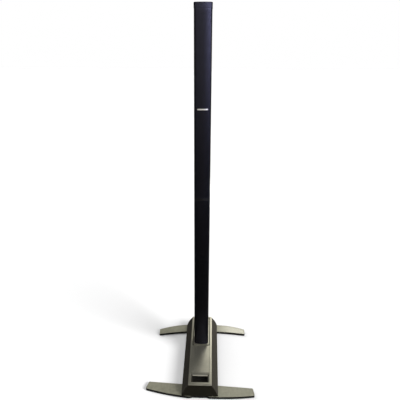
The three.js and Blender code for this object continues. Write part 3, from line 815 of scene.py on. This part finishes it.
class PA_OT_grilles(Operator):
    """Wraps each section's front in perforated sheet"""

    bl_idname = "pa.grilles"
    bl_label = "Grilles"

    def execute(self, context):
        for section, (body, bottom, top) in SECTIONS.items():
            mesh = grille_mesh(section + "_perforated_grille", bottom, top)
            piece(mesh.name, mesh, "grille_coat", body, section + "_grille", crisp=False)
        return {"FINISHED"}


def housing_outline(wall):
    """Closed outline of the rear channel: the column's back half with two square grooves, then its inner wall
    with a rail on each side."""
    size = settings("column")
    half, back, corner = COLUMN_HALF, COLUMN_BACK, size.back_corner
    edge = SPLIT + REST_GAP
    groove, groove_at = size.groove / 2, 22 * MM
    rail, rail_at, rail_thick = 6 * MM, SPLIT + 16 * MM, 4 * MM
    grooves = []
    for x in (groove_at, -groove_at):
        side = [[x + groove, back], [x + groove, back - groove], [x - groove, back - groove], [x - groove, back]]
        grooves.append(np.array(side))
    inner_half, inner_back, radius = half - wall, back - wall, corner - wall
    left = np.array(
        [
            [-inner_half, edge],
            [-inner_half, rail_at],
            [-inner_half + rail, rail_at],
            [-inner_half + rail, rail_at + rail_thick],
            [-inner_half, rail_at + rail_thick],
        ]
    )
    return np.concatenate(
        [
            [[half, edge]],
            arc(half - corner, back - corner, corner, 0, 90, 8),
            *grooves,
            arc(-half + corner, back - corner, corner, 90, 180, 8),
            [[-half, edge]],
            left,
            arc(-inner_half + radius, inner_back - radius, radius, 180, 90, 5),
            arc(inner_half - radius, inner_back - radius, radius, 90, 0, 5),
            left[::-1] * [-1, 1],
        ]
    )


def screw(centre, facing, radius=2.6 * MM):
    """A countersunk screw: a low domed head with a six-lobed recess."""
    recess = radius * 0.5
    profile = [
        (radius * 0.3, -1.4 * MM),
        (radius, -0.2 * MM),
        (radius, 0.1 * MM),
        (radius * 0.86, 0.45 * MM),
        (recess, 0.6 * MM),
        (recess, -0.7 * MM),
        (recess * 0.2, -0.9 * MM),
    ]

    def lobes(turn, reach, height):
        inner = (reach < radius * 0.6) & (height > -1.2 * MM)
        return np.where(inner, 1 + 0.16 * np.cos(6 * turn), 1.0)

    return lathe("screw", profile, centre, 24, facing, lobes)


class PA_OT_housings(Operator):
    """Builds each section's grooved rear channel and the screws down its back"""

    bl_idname = "pa.housings"
    bl_label = "Housings"

    def execute(self, context):
        outline = housing_outline(settings("column").wall)
        middle = np.array([0.0, COLUMN_BACK * 0.6])
        bevel = 0.5 * MM
        screw_row, screw_margin, screw_sunk = 34 * MM, 60 * MM, 0.3 * MM
        for section, (body, bottom, top) in SECTIONS.items():
            rings = []
            for z, inset in ((bottom, bevel), (bottom + bevel, 0), (top - bevel, 0), (top, bevel)):
                drawn = outline - np.sign(outline - middle) * [inset, 0]
                rings.append(np.column_stack([drawn, np.full(len(outline), z)]))
            mesh = shaded(lofted(section, rings))
            piece(section + "_housing_channel", mesh, "housing_anodised", body, section + "_housing")
            screws = []
            for z in np.linspace(bottom + screw_margin, top - screw_margin, 5):
                for x in (-screw_row, screw_row):
                    screws.append(screw((x, COLUMN_BACK - screw_sunk, z), "-y"))
            mesh = shaded(merged(section, screws))
            piece(section + "_housing_screws", mesh, "plated_steel", body)
        return {"FINISHED"}


class PA_OT_column_joints(Operator):
    """Builds the band between the sections, its spigot, and the parts that plug in below"""

    bl_idname = "pa.column_joints"
    bl_label = "Column joints"

    def execute(self, context):
        bottom = high("lower_grille").z + JOINT_GAP
        top = low("upper_grille").z - REST_GAP
        edge = 0.9 * MM
        levels = rounded_foot(edge, bottom, 4) + rounded_head(edge, top, 4)
        band = shaded(lofted("band", [column_ring(*level) for level in levels]))
        tip = low("upper_joint_plug").z
        half, corner, lead_in, into_band = 30 * MM, 6 * MM, 1.5 * MM, 2 * MM
        levels = [(lead_in, tip), (0.0, tip + lead_in), (0.0, bottom + into_band)]
        rings = [plan_ring(half - cut, -half + cut, half - cut, corner, z, 5, (4, 4)) for cut, z in levels]
        spigot = shaded(lofted("spigot", rings))
        # The band wears the paler plastic that stands as a painted highlight along the joint.
        piece("joint_band", band, "joint_plastic", "upper_column", "upper_joint_plug")
        piece("joint_spigot", spigot, "black_moulding", "upper_column")
        softened("joint_receiver", "joint_socket", "black_moulding", "lower_column", 0.6 * MM)
        softened("foot_block", "lower_foot_plug", "black_moulding", "lower_column", 0.8 * MM)
        return {"FINISHED"}


class PA_OT_top_cap(Operator):
    """Closes the column with a cap whose edge is rounded and whose top is slightly domed"""

    bl_idname = "pa.top_cap"
    bl_label = "Top cap"

    def execute(self, context):
        edge = settings("column").cap_edge
        top = high("top_cap").z
        bottom = high("upper_grille").z + REST_GAP
        proud = COLUMN_HALF - high("top_cap").x
        dome, plug, bevel = 1.2 * MM, 3.9 * MM, 0.6 * MM
        rings = [column_ring(plug, low("top_cap").z), column_ring(plug, bottom)]
        rings += [column_ring(proud + bevel, bottom), column_ring(proud, bottom + bevel)]
        rings += [column_ring(proud + inset, z) for inset, z in rounded_head(edge, top - dome, 6)]
        for share in (0.25, 0.5, 0.75, 0.97):
            ring = column_ring(proud + edge, top - dome * (1 - share) ** 2)
            ring[:, :2] *= 1 - share
            rings.append(ring)
        mesh = shaded(lofted("cap", rings))
        piece("domed_cap", mesh, "housing_anodised", "upper_column", "top_cap")
        return {"FINISHED"}


class PA_OT_badge(Operator):
    """Lays a plain brushed bar on the upper grille, its section and its outline both rounded squares"""

    bl_idname = "pa.badge"
    bl_label = "Badge"

    def execute(self, context):
        lowest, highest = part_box("badge")
        at, run = front_path()
        half_width, half_height = highest.x, (highest.z - lowest.z) / 2
        middle = (highest.z + lowest.z) / 2
        lift, half_thick = 1.3 * MM, 0.9 * MM
        turn = np.linspace(0, 2 * math.pi, 24, endpoint=False)
        cos, sin = (np.sign(f(turn)) * np.abs(f(turn)) ** 0.5 for f in (np.cos, np.sin))
        rings = []
        for share in np.linspace(-1, 1, 41):
            place, out = at(np.array([run / 2 + share * half_width]))
            small = max((1 - abs(share) ** 14) ** 0.5, 0.05)
            out_by = lift + half_thick * cos * small
            up_by = half_height * sin * small
            rings.append(np.column_stack([place + out * out_by[:, None], middle + up_by]))
        mesh = shaded(lofted("badge", rings), 50.0)
        piece("plain_badge", mesh, "badge_metal", "upper_column", "badge")
        return {"FINISHED"}


# ---- Power stand ------------------------------------------------------------------------------------------

SHELL_LOW, SHELL_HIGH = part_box("base_shell")
FRAME_LOW, FRAME_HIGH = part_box("top_frame")
DECK = low("socket_collar").z - REST_GAP


def shell_ring(share, inset):
    """The shell seen from above at a share of its height. Each side is a quadratic arc in section, and the ends
    lean in evenly."""
    size = settings("stand")
    half, flat = SHELL_HIGH.x - inset, FRAME_HIGH.x - inset
    bulge = (half + flat) / 2 + 2 * size.bulge
    bottom, top = SHELL_LOW.z, SHELL_HIGH.z
    bend = (bottom + top) / 2 + size.bulge
    # The arc's height is a quadratic in t. It is solved for the t that lies at the share of the way up.
    a, b, c = bottom - 2 * bend + top, 2 * (bend - bottom), (bottom - top) * share
    t = share if abs(a) < 1e-9 else (-b + math.sqrt(max(b * b - 4 * a * c, 0.0))) / (2 * a)
    side = (1 - t) ** 2 * half + 2 * t * (1 - t) * bulge + t * t * flat
    return plan_ring(
        side,
        SHELL_LOW.y + inset + size.front_rake * share,
        SHELL_HIGH.y - inset - size.rear_rake * share,
        max(size.corner - inset * 0.5, 1 * MM),
        bottom + (top - bottom) * share,
    )


class PA_OT_shell(Operator):
    """Builds the stand's long body: bowed sides, raked ends, a land for the top frame and the deck inside it"""

    bl_idname = "pa.shell"
    bl_label = "Stand shell"

    def execute(self, context):
        size = settings("stand")
        lift = 0.8 * MM
        rings = [shell_ring(0.0, inset) + [0, 0, rise] for inset, rise in rounded_foot(lift, 0.0, 3)]
        rings += [shell_ring(share, 0.0) for share in np.linspace(0.03, 0.985, 18)]
        top = SHELL_HIGH.z
        rear_land = FRAME_HIGH.y - size.frame_rear

        def level(half, front, rear, z, radius=3 * MM):
            return plan_ring(half, front, rear, radius, z)

        inner_half = FRAME_HIGH.x - size.frame_side
        inner_front = FRAME_LOW.y + size.frame_front
        lip, front_lip, deck_thick = size.deck_lip, 3 * MM, 3 * MM
        deck_half, deck_front, deck_rear = inner_half - lip, inner_front + front_lip, rear_land - lip
        rings += [
            level(FRAME_HIGH.x - 0.5 * MM, FRAME_LOW.y + 0.2 * MM, FRAME_HIGH.y - 0.2 * MM, top, 5 * MM),
            level(inner_half, inner_front, rear_land, top),
            level(inner_half, inner_front, rear_land, DECK),
            level(deck_half, deck_front, deck_rear, DECK),
            level(deck_half, deck_front, deck_rear, DECK - deck_thick),
        ]
        rings += [shell_ring(share, size.wall) for share in np.linspace(0.93, 0.0, 10)]
        mesh = shaded(lofted("shell", rings, closed=True))
        mesh.materials.append(look("shell_moulding"))
        # The faces that look to the front get the darker moulding: painted shade on the shell's front end.
        facing_front, near = -0.75, SHELL_LOW.y + 20 * MM
        banded(mesh, "end_cap_moulding", lambda at, normal: (normal[:, 1] < facing_front) & (at[:, 1] < near))
        piece("bowed_shell", mesh, "shell_moulding", "stand", "base_shell")
        front, back = low("socket_collar").y, high("socket_collar").y
        bar_half, bar_sunk = deck_half - 0.2 * MM, 0.05 * MM
        bars = []
        for start, end in ((front - 9 * MM, front + 4 * MM), (back - 8 * MM, back + 8 * MM)):
            levels = (DECK - deck_thick, DECK - bar_sunk)
            bars.append(lofted("bar", [plan_ring(bar_half, start, end, 1 * MM, z, 3, (4, 2)) for z in levels]))
        mesh = shaded(merged("bars", bars))
        piece("deck_bars", mesh, "shell_moulding", "stand")
        return {"FINISHED"}


class PA_OT_top_frame(Operator):
    """Builds the bright rim round the stand's top, its front bar the hand grip"""

    bl_idname = "pa.top_frame"
    bl_label = "Top frame"

    def execute(self, context):
        size = settings("stand")
        half, front, rear = FRAME_HIGH.x, FRAME_LOW.y, FRAME_HIGH.y
        bottom, top = FRAME_LOW.z, FRAME_HIGH.z
        inner = (half - size.frame_side, front + size.frame_front, rear - size.frame_rear)
        edge, inner_edge = size.frame_edge, 0.9 * MM
        foot_bevel, inner_bevel = 0.4 * MM, 0.3 * MM

        def outer_ring(inset, z):
            return plan_ring(half - inset, front + inset * size.grip_round, rear - inset, 5 * MM - inset * 0.6, z)

        def inner_ring(grow, z):
            return plan_ring(inner[0] + grow, inner[1] - grow, inner[2] + grow, 2 * MM + grow, z)

        rings = [outer_ring(foot_bevel, bottom), outer_ring(0.0, bottom + foot_bevel)]
        rings += [outer_ring(*level) for level in rounded_head(edge, top, 5)]
        rings += [
            inner_ring(inner_edge * (1 - inward), top - inner_edge + inner_edge * up)
            for inward, up in quarter(4)[::-1]
        ]
        rings += [inner_ring(0.0, bottom + inner_bevel), inner_ring(inner_bevel, bottom)]
        mesh = shaded(lofted("frame", rings, closed=True))
        piece("rim_frame", mesh, "trim_paint", "stand", "top_frame")
        return {"FINISHED"}


class PA_OT_front_panel(Operator):
    """Rounds the panel in front of the column, with its curled lip"""

    bl_idname = "pa.front_panel"
    bl_label = "Front panel"

    def execute(self, context):
        softened("lipped_panel", "front_panel", "trim_paint", "stand", 0.7 * MM, 3, 28)
        softened("column_collar", "socket_collar", "trim_paint", "stand", 1.3 * MM, 4, 40)
        return {"FINISHED"}


class PA_OT_hand_grip(Operator):
    """Sinks the pocket behind the hand grip, with drafted walls and a rounded floor"""

    bl_idname = "pa.hand_grip"
    bl_label = "Hand grip"

    def execute(self, context):
        lowest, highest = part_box("handle_well")
        wall, draft, fillet = 2.5 * MM, 1.5 * MM, 6 * MM
        lip, foot, corner = 0.6 * MM, 3 * MM, 4 * MM
        floor = lowest.z + wall

        def level(inset, radius, z):
            return plan_ring(highest.x - inset, lowest.y + inset, highest.y - inset, radius, z)

        centre = np.array([0, (lowest.y + highest.y) / 2, floor])
        flat = level(wall + draft + fillet, 3 * MM, floor)
        rings = [centre + (flat - centre) * share for share in (0.15, 0.5, 0.85)]
        for inward, up in quarter(5)[::-1]:
            inset = wall + draft + fillet * (1 - up)
            rings.append(level(inset, corner + fillet * up, floor + fillet * inward))
        rings += [
            level(wall, corner, highest.z - lip),
            level(lip, corner, highest.z),
            level(0.0, corner + lip, highest.z - lip),
            level(draft, 5 * MM, lowest.z + foot),
            level(draft + foot, 5 * MM, lowest.z),
        ]
        mesh = shaded(lofted("pocket", rings), 50.0)
        piece("grip_pocket", mesh, "grip_lining", "stand", "handle_well")
        return {"FINISHED"}


# ---- Legs -------------------------------------------------------------------------------------------------


def quadratic(start, bend, end, steps):
    """Points on a quadratic curve between two ends that is pulled towards a third point."""
    t = np.linspace(0, 1, steps + 1)[:, None]
    return (1 - t) ** 2 * np.array(start) + 2 * t * (1 - t) * np.array(bend) + t**2 * np.array(end)


def leg_outline(leg, inset):
    """A leg seen from above, along +X from its pivot and with its outer edge towards +Y: a round root, a bowed
    outer edge and a straighter inner one, each tangent to the root, and a blunt tip with rounded corners."""
    root = leg["root"] - inset
    outer = np.array(leg["outer"]) - [0, inset]
    inner = np.array(leg["inner"]) * [1, -1] + [0, inset]
    start = math.atan2(outer[1], outer[0]) + math.acos(root / np.hypot(*outer))
    end = math.atan2(inner[1], inner[0]) - math.acos(root / np.hypot(*inner)) + 2 * math.pi
    cut, slack, slope = 6 * MM, 0.6 * MM, 0.3 * MM
    tip = leg["length"] - inset
    outer_tip = np.array([tip + leg["skew"], leg["tip"][0] - inset])
    inner_tip = np.array([tip - leg["skew"], inset - leg["tip"][1]])
    left = arc(0, 0, root, math.degrees(start), math.degrees(end), 24)
    edge_in = inner_tip + [-cut, -slack]
    edge_out = outer_tip + [-cut, slack]
    return np.concatenate(
        [
            left,
            quadratic(left[-1], inner, edge_in, 18)[1:],
            quadratic(edge_in, inner_tip, inner_tip + [slope, cut], 5)[1:],
            quadratic(outer_tip + [-slope, -cut], outer_tip, edge_out, 5),
            quadratic(edge_out, outer, left[0], 18)[1:-1],
        ]
    )


def leg_rings(leg, bottom, top):
    """The leg's skin as rings: down its bore, under its foot, up its side, over its rim and across its tray. A
    ring on a circle holds, for each point of the outline, the point at the same bearing from the pivot."""
    size = settings("leg")
    bearing = np.arctan2(*leg_outline(leg, 0.0).T[::-1])

    def circle(radius, z):
        return np.stack([radius * np.cos(bearing), radius * np.sin(bearing), np.full(len(bearing), z)], -1)

    def level(inset, z):
        outline = leg_outline(leg, inset)
        return np.column_stack([outline, np.full(len(outline), z)])

    head, bevel = bottom + 4.8 * MM, 0.6 * MM
    tray = top - size.tray
    rings = [
        circle(size.bore, tray),
        circle(size.bore, head),
        circle(size.counterbore, head),
        circle(size.counterbore, bottom + bevel),
        circle(size.counterbore + bevel, bottom),
    ]
    rings += [level(*edge) for edge in rounded_foot(size.edge, bottom, 3) + rounded_head(size.edge, top, 4)]
    rings += [level(size.rim - 0.5 * MM, top), level(size.rim, top - 0.35 * MM)]
    rings += [level(size.rim + 0.5 * MM, tray + 0.2 * MM), level(size.rim + 1.1 * MM, tray)]
    return np.array(rings)


def placed(points, pivot, bearing, mirrored):
    """Turns points from a leg's own frame to the bearing given, in degrees, about its pivot."""
    points = np.array(points, float)
    if mirrored:
        points[..., 1] *= -1
    turn = math.radians(bearing)
    x = points[..., 0] * math.cos(turn) - points[..., 1] * math.sin(turn)
    y = points[..., 0] * math.sin(turn) + points[..., 1] * math.cos(turn)
    return np.stack([x + pivot[0], y + pivot[1], points[..., 2]], -1)


def leg_kinds():
    """Each kind of leg from above. outer and inner are the points that pull its two edges, tip is the half width
    on each side at its end, and skew is how far that end slants."""
    size = settings("leg")
    front = {"outer": (0.140, 0.046), "inner": (0.131, 0.035), "tip": (0.027, 0.026), "skew": 0.003}
    rear = {"outer": (0.125, 0.057), "inner": (0.125, 0.021), "tip": (0.027, 0.0225), "skew": -0.003}
    return {
        "front": {"length": size.front_length, "root": size.front_root, **front},
        "rear": {"length": size.rear_length, "root": size.rear_root, **rear},
    }


class PA_OT_legs(Operator):
    """Builds the four folding legs, each with a rimmed tray, a raised tip pad and a rubber foot"""

    bl_idname = "pa.legs"
    bl_label = "Legs"

    def execute(self, context):
        kinds = leg_kinds()
        for end, stowed in (("front", 90.0), ("rear", -90.0)):
            for hand in ("left", "right"):
                name = f"{end}_{hand}"
                joint = JOINTS[name + "_leg_fold"]
                travel = max(joint["range_deg"], key=abs)
                bearing = stowed - travel
                mirrored = (end == "front") == (hand == "right")
                self.build(name, kinds[end], joint["pos_m"], bearing, mirrored)
        return {"FINISHED"}

    def build(self, name, leg, pivot, bearing, mirrored):
        bottom, top = low(name + "_leg").z, high(name + "_leg").z
        body = name + "_leg_arm"
        rings = placed(leg_rings(leg, bottom, top), pivot, bearing, mirrored)
        mesh = shaded(lofted(name, rings, closed=True))
        mesh.materials.append(look("leg_paint"))
        banded(mesh, "black_moulding", lambda at, normal: at[:, 2] < top - settings("leg").edge)
        piece(name + "_leg_casting", mesh, "leg_paint", body, name + "_leg")
        tray = top - settings("leg").tray
        long, clear, bevel, proud, sunk = 30 * MM, 3 * MM, 0.3 * MM, 0.5 * MM, 0.3 * MM
        far = leg_outline(leg, settings("leg").rim + clear)[:, 0].max()
        half = min(leg["tip"]) - 11 * MM
        levels = ((0.0, tray - sunk), (0.0, tray + proud - 0.2 * MM), (bevel, tray + proud))
        pad = [plan_ring(long / 2 - cut, -half + cut, half - cut, 4 * MM, z, 5, (3, 3)) for cut, z in levels]
        pad = np.array(pad) + [far - long / 2 - 2 * MM, 0, 0]
        mesh = shaded(lofted(name, placed(pad, pivot, bearing, mirrored)), 12.0)
        piece(name + "_tip_plate", mesh, "leg_paint", body)
        softened(name + "_foot_pad", name + "_leg_pad", "rubber", body, 0.8 * MM)
        self.bolt(name, pivot)

    def bolt(self, name, pivot):
        """The pivot's shoulder bolt, seen from below: a round head with a six-sided recess."""
        lowest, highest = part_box(name + "_pivot_bolt")
        head, neck, recess = 13 * MM, 6 * MM, 5 * MM
        thick, bevel = 4 * MM, 1 * MM
        under = lowest.z
        profile = [
            (recess * 0.2, under + 2.6 * MM),
            (recess, under + 2.4 * MM),
            (recess, under + 0.3 * MM),
            (recess + 0.4 * MM, under),
            (head - bevel, under),
            (head, under + bevel),
            (head, under + thick),
            (neck, under + thick),
            (neck, highest.z),
            (neck * 0.2, highest.z),
        ]

        def lobes(turn, reach, height):
            flats = np.cos(math.pi / 6) / np.cos((turn + math.pi / 6) % (math.pi / 3) - math.pi / 6)
            return np.where((reach < recess * 1.05) & (height < under + 3 * MM), flats, 1.0)

        mesh = shaded(lathe(name, profile, (pivot[0], pivot[1], 0.0), 36, "z", lobes))
        piece(name + "_shoulder_bolt", mesh, "plated_steel", "stand", name + "_pivot_bolt")


# ---- Connectors, underside and inside ---------------------------------------------------------------------


def knob_mesh(node):
    """A trim knob: a fluted skirt, a dished top and a raised pointer."""
    lowest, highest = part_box(node)
    centre = ((lowest.x + highest.x) / 2, (lowest.y + highest.y) / 2, 0.0)
    radius = (highest.x - lowest.x) / 2
    skirt = highest.z - 10 * MM
    shaft = 3 * MM
    dish = highest.z - 0.9 * MM
    profile = [
        (0.3 * MM, lowest.z),
        (shaft, lowest.z),
        (shaft, skirt),
        (radius, skirt),
        (radius, skirt + 1 * MM),
        (radius - 0.3 * MM, skirt + 1.4 * MM),
        (radius - 0.6 * MM, highest.z - 1.4 * MM),
        (radius - 1.3 * MM, highest.z - 0.5 * MM),
        (radius - 2 * MM, highest.z - 0.4 * MM),
        (radius * 0.3, dish),
        (0.2 * MM, dish),
    ]

    def lobes(turn, reach, height):
        fluted = (reach > radius * 0.7) & (height > skirt + 1.2 * MM)
        return np.where(fluted, 1 + 0.022 * np.cos(18 * turn), 1.0)

    body = lathe("knob", profile, centre, 108, "z", lobes)
    line = plan_ring(0.45 * MM, 0.8 * MM, radius - 1.2 * MM, 0.3 * MM, 0.0, 3, (1, 2))
    line = np.array([line, line + [0, 0, 0.9 * MM]]) + [centre[0], centre[1], highest.z - 1.0 * MM]
    return shaded(body), shaded(lofted("line", line))


class PA_OT_connectors(Operator):
    """Finishes the connector panel behind the column: sockets, knobs, mains inlet, rocker and screws"""

    bl_idname = "pa.connectors"
    bl_label = "Connector panel"

    def execute(self, context):
        softened("connector_plate", "io_panel", "shell_moulding", "stand", 0.4 * MM)
        for node in ("channel_1_input", "channel_2_input", "bass_output", "remote_socket"):
            softened(node + "_jack", node, "black_moulding", "stand", 0.35 * MM)
        softened("mains_inlet_body", "mains_inlet", "black_moulding", "stand", 0.4 * MM)
        softened("power_rocker_cap", "power_rocker", "black_moulding", "rocker", 0.5 * MM, angle=35)
        for channel in ("channel_1", "channel_2"):
            knob, line = knob_mesh(channel + "_trim_knob")
            body = channel + "_knob"
            piece(channel + "_fluted_knob", knob, "black_moulding", body, channel + "_trim_knob")
            piece(channel + "_pointer", line, "badge_metal", body)
        lowest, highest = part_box("io_panel")
        margin = 5 * MM
        screws = []
        for x in (lowest.x + margin, highest.x - margin):
            for y in (lowest.y + margin, (lowest.y + highest.y) / 2, highest.y - margin):
                screws.append(screw((x, y, highest.z + 0.1 * MM), "z", 2.2 * MM))
        piece("connector_plate_screws", shaded(merged("screws", screws)), "plated_steel", "stand")
        return {"FINISHED"}


class PA_OT_underside(Operator):
    """Finishes the floor pan, the centre foot and the receiver for the column"""

    bl_idname = "pa.underside"
    bl_label = "Underside"

    def execute(self, context):
        softened("floor_pan", "base_pan", "black_moulding", "stand", 0.8 * MM)
        softened("centre_foot_pad", "centre_foot", "rubber", "stand", 0.8 * MM)
        softened("column_receiver", "column_socket", "grip_lining", "stand", 0.6 * MM)
        return {"FINISHED"}


class PA_OT_inside(Operator):
    """Gives the parts inside the stand and the column their finishes"""

    bl_idname = "pa.inside"
    bl_label = "Inside"

    def execute(self, context):
        inside = {
            "contact_block": "plated_steel",
            "amplifier_board": "circuit_board",
            "heat_sink": "bare_aluminium",
            "toroidal_transformer": "winding_wrap",
        }
        inside.update({node: "cone_paper" for node in frame["nodes"] if "driver_pair" in node})
        for node, name in inside.items():
            mesh = frame["nodes"][node].data
            mesh.materials.clear()
            mesh.materials.append(look(name))
        return {"FINISHED"}


# ---- Stage ------------------------------------------------------------------------------------------------


LOBES = [
    # Direction, sharpness, strength and tint of each glow that gloss sees
    ((-0.50, -0.84, 0.22), 16.0, 1.9, (1.0, 0.97, 0.86)),
    ((0.02, -0.97, 0.22), 22.0, 2.3, (1.0, 0.95, 0.80)),
    ((0.48, -0.84, 0.26), 40.0, 14.0, (0.86, 0.86, 1.0)),
    ((0.80, -0.58, 0.22), 44.0, 17.0, (0.82, 0.83, 1.0)),
    ((0.30, 0.68, 0.67), 26.0, 1.5, (1.0, 0.98, 0.92)),
    ((0.72, 0.62, -0.30), 6.0, 0.45, (1.0, 0.90, 0.74)),
    ((0.68, 0.73, 0.06), 34.0, 1.2, (1.0, 0.98, 0.93)),
    ((0.38, -0.55, 0.75), 24.0, 4.2, (1.0, 0.99, 0.95)),
]


# Direction and strength of the soft light that matt surfaces see
SOFT_LIGHTS = [((0.0, 0.0, 1.0), 0.84), ((-0.95, 0.10, 0.30), 1.3)]
DARK_ROOM = (0.02, 0.02, 0.02)
WHITE = (1.0, 1.0, 1.0)
SUN_WIDTH = math.radians(26)
WINDOW_SIZE = 0.35
WINDOW_TINT = (1.0, 0.98, 0.90)
WINDOW_AIM = (0.0, -0.15, 0.1)


def studio_world():
    """White to the eye and even light on matt surfaces. Gloss sees a dark room with a few soft glows, each a
    power of the cosine between the ray and the glow's direction."""
    world = bpy.data.worlds.new("studio")
    bpy.context.scene.world = world
    tree = Tree(world)
    ray = tree.node("ShaderNodeTexCoord", output="Generated")

    def facing(direction):
        """The cosine between the ray and a direction, from 0 up."""
        inputs = {0: ray, 1: direction}
        return tree.node("ShaderNodeVectorMath", {"operation": "DOT_PRODUCT"}, inputs, "Value").at_least(0.0)

    gloss = DARK_ROOM
    for direction, sharpness, strength, tint in LOBES:
        glow = facing(Vector(direction).normalized()) ** sharpness * strength
        gloss = tree.mixed(glow, gloss, tint, "ADD")
    soft = (0.0, 0.0, 0.0)
    for direction, strength in SOFT_LIGHTS:
        soft = tree.mixed(facing(direction) ** 2.0 * strength, soft, WHITE, "ADD")
    shiny = tree.node("ShaderNodeLightPath", output="Is Glossy Ray")
    seen = tree.node("ShaderNodeLightPath", output="Is Camera Ray")
    light = tree.mixed(seen, tree.mixed(shiny, soft, gloss), WHITE)
    glow = tree.node("ShaderNodeBackground", None, {"Color": light, "Strength": 1.0})
    tree.node("ShaderNodeOutputWorld", None, {"Surface": glow})


class PA_OT_stage(Operator):
    """Sets up the camera, the pale floor and the studio light"""

    bl_idname = "pa.stage"
    bl_label = "Stage"

    def execute(self, context):
        stage = settings("stage")
        context.scene.view_settings.view_transform = "Standard"
        lens = bpy.data.cameras.new("camera")
        lens.lens = stage.lens
        lens.sensor_width = 36.0
        lens.clip_end = 200.0
        camera = bpy.data.objects.new("camera", lens)
        context.scene.collection.objects.link(camera)
        camera.location = stage.eye
        heading = (Vector(stage.aim) - Vector(stage.eye)).to_track_quat("-Z", "Y")
        camera.rotation_mode = "QUATERNION"
        camera.rotation_quaternion = heading @ Quaternion((0.0, 0.0, 1.0), stage.lean)
        context.scene.camera = camera
        mesh = bpy.data.meshes.new("floor")
        reach = stage.reach
        ring = plan_ring(reach, -reach, reach, 1.0, 0.0, 2, (1, 1))
        set_mesh(mesh, ring, [np.arange(len(ring))[None, :]])
        mesh.materials.append(look("floor_white"))
        floor = bpy.data.objects.new("floor", mesh)
        context.scene.collection.objects.link(floor)
        floor.visible_glossy = False
        floor.visible_diffuse = False
        studio_world()
        sun = bpy.data.lights.new("sun", "SUN")
        sun.energy = stage.sun
        sun.angle = SUN_WIDTH
        lamp = bpy.data.objects.new("sun", sun)
        lamp.rotation_euler = Vector(stage.sun_from).to_track_quat("Z", "Y").to_euler()
        lamp.visible_glossy = False
        context.scene.collection.objects.link(lamp)
        window = bpy.data.lights.new("window", "AREA")
        window.shape = "RECTANGLE"
        window.size = window.size_y = WINDOW_SIZE
        window.energy = stage.window
        window.color = WINDOW_TINT
        lamp = bpy.data.objects.new("window", window)
        lamp.location = stage.window_at
        heading = Vector(stage.window_at) - Vector(WINDOW_AIM)
        lamp.rotation_euler = heading.to_track_quat("Z", "Y").to_euler()
        lamp.visible_camera = False
        context.scene.collection.objects.link(lamp)
        spared = bpy.data.collections.new("spared_by_window")
        spared.objects.link(floor)
        lamp.light_linking.receiver_collection = spared
        spared.collection_objects[0].light_linking.link_state = "EXCLUDE"
        return {"FINISHED"}


# ---- Add-on -----------------------------------------------------------------------------------------------

STEPS = [
    PA_OT_stage,
    PA_OT_grilles,
    PA_OT_housings,
    PA_OT_column_joints,
    PA_OT_top_cap,
    PA_OT_badge,
    PA_OT_shell,
    PA_OT_top_frame,
    PA_OT_front_panel,
    PA_OT_hand_grip,
    PA_OT_legs,
    PA_OT_connectors,
    PA_OT_underside,
    PA_OT_inside,
]


class PA_PT_panel(Panel):
    """Lists the steps that build the column PA system"""

    bl_idname = "PA_PT_panel"
    bl_label = "Column PA"
    bl_space_type = "VIEW_3D"
    bl_region_type = "UI"
    bl_category = "Column PA"

    def draw(self, context):
        for step in STEPS:
            self.layout.operator(step.bl_idname)
        for name, group in GROUPS.items():
            box = self.layout.box()
            box.label(text=name.capitalize())
            for key in group.__annotations__:
                box.prop(settings(name), key)


CLASSES = [*GROUPS.values(), *STEPS, PA_PT_panel]


def register():
    for made in CLASSES:
        bpy.utils.register_class(made)
    for name, group in GROUPS.items():
        setattr(bpy.types.Scene, "pa_" + name, PointerProperty(type=group))


def unregister():
    for name in GROUPS:
        delattr(bpy.types.Scene, "pa_" + name)
    for made in reversed(CLASSES):
        bpy.utils.unregister_class(made)


def main():
    register()
    for step in STEPS:
        group, name = step.bl_idname.split(".")
        getattr(getattr(bpy.ops, group), name)()


if __name__ == "__main__":
    main()
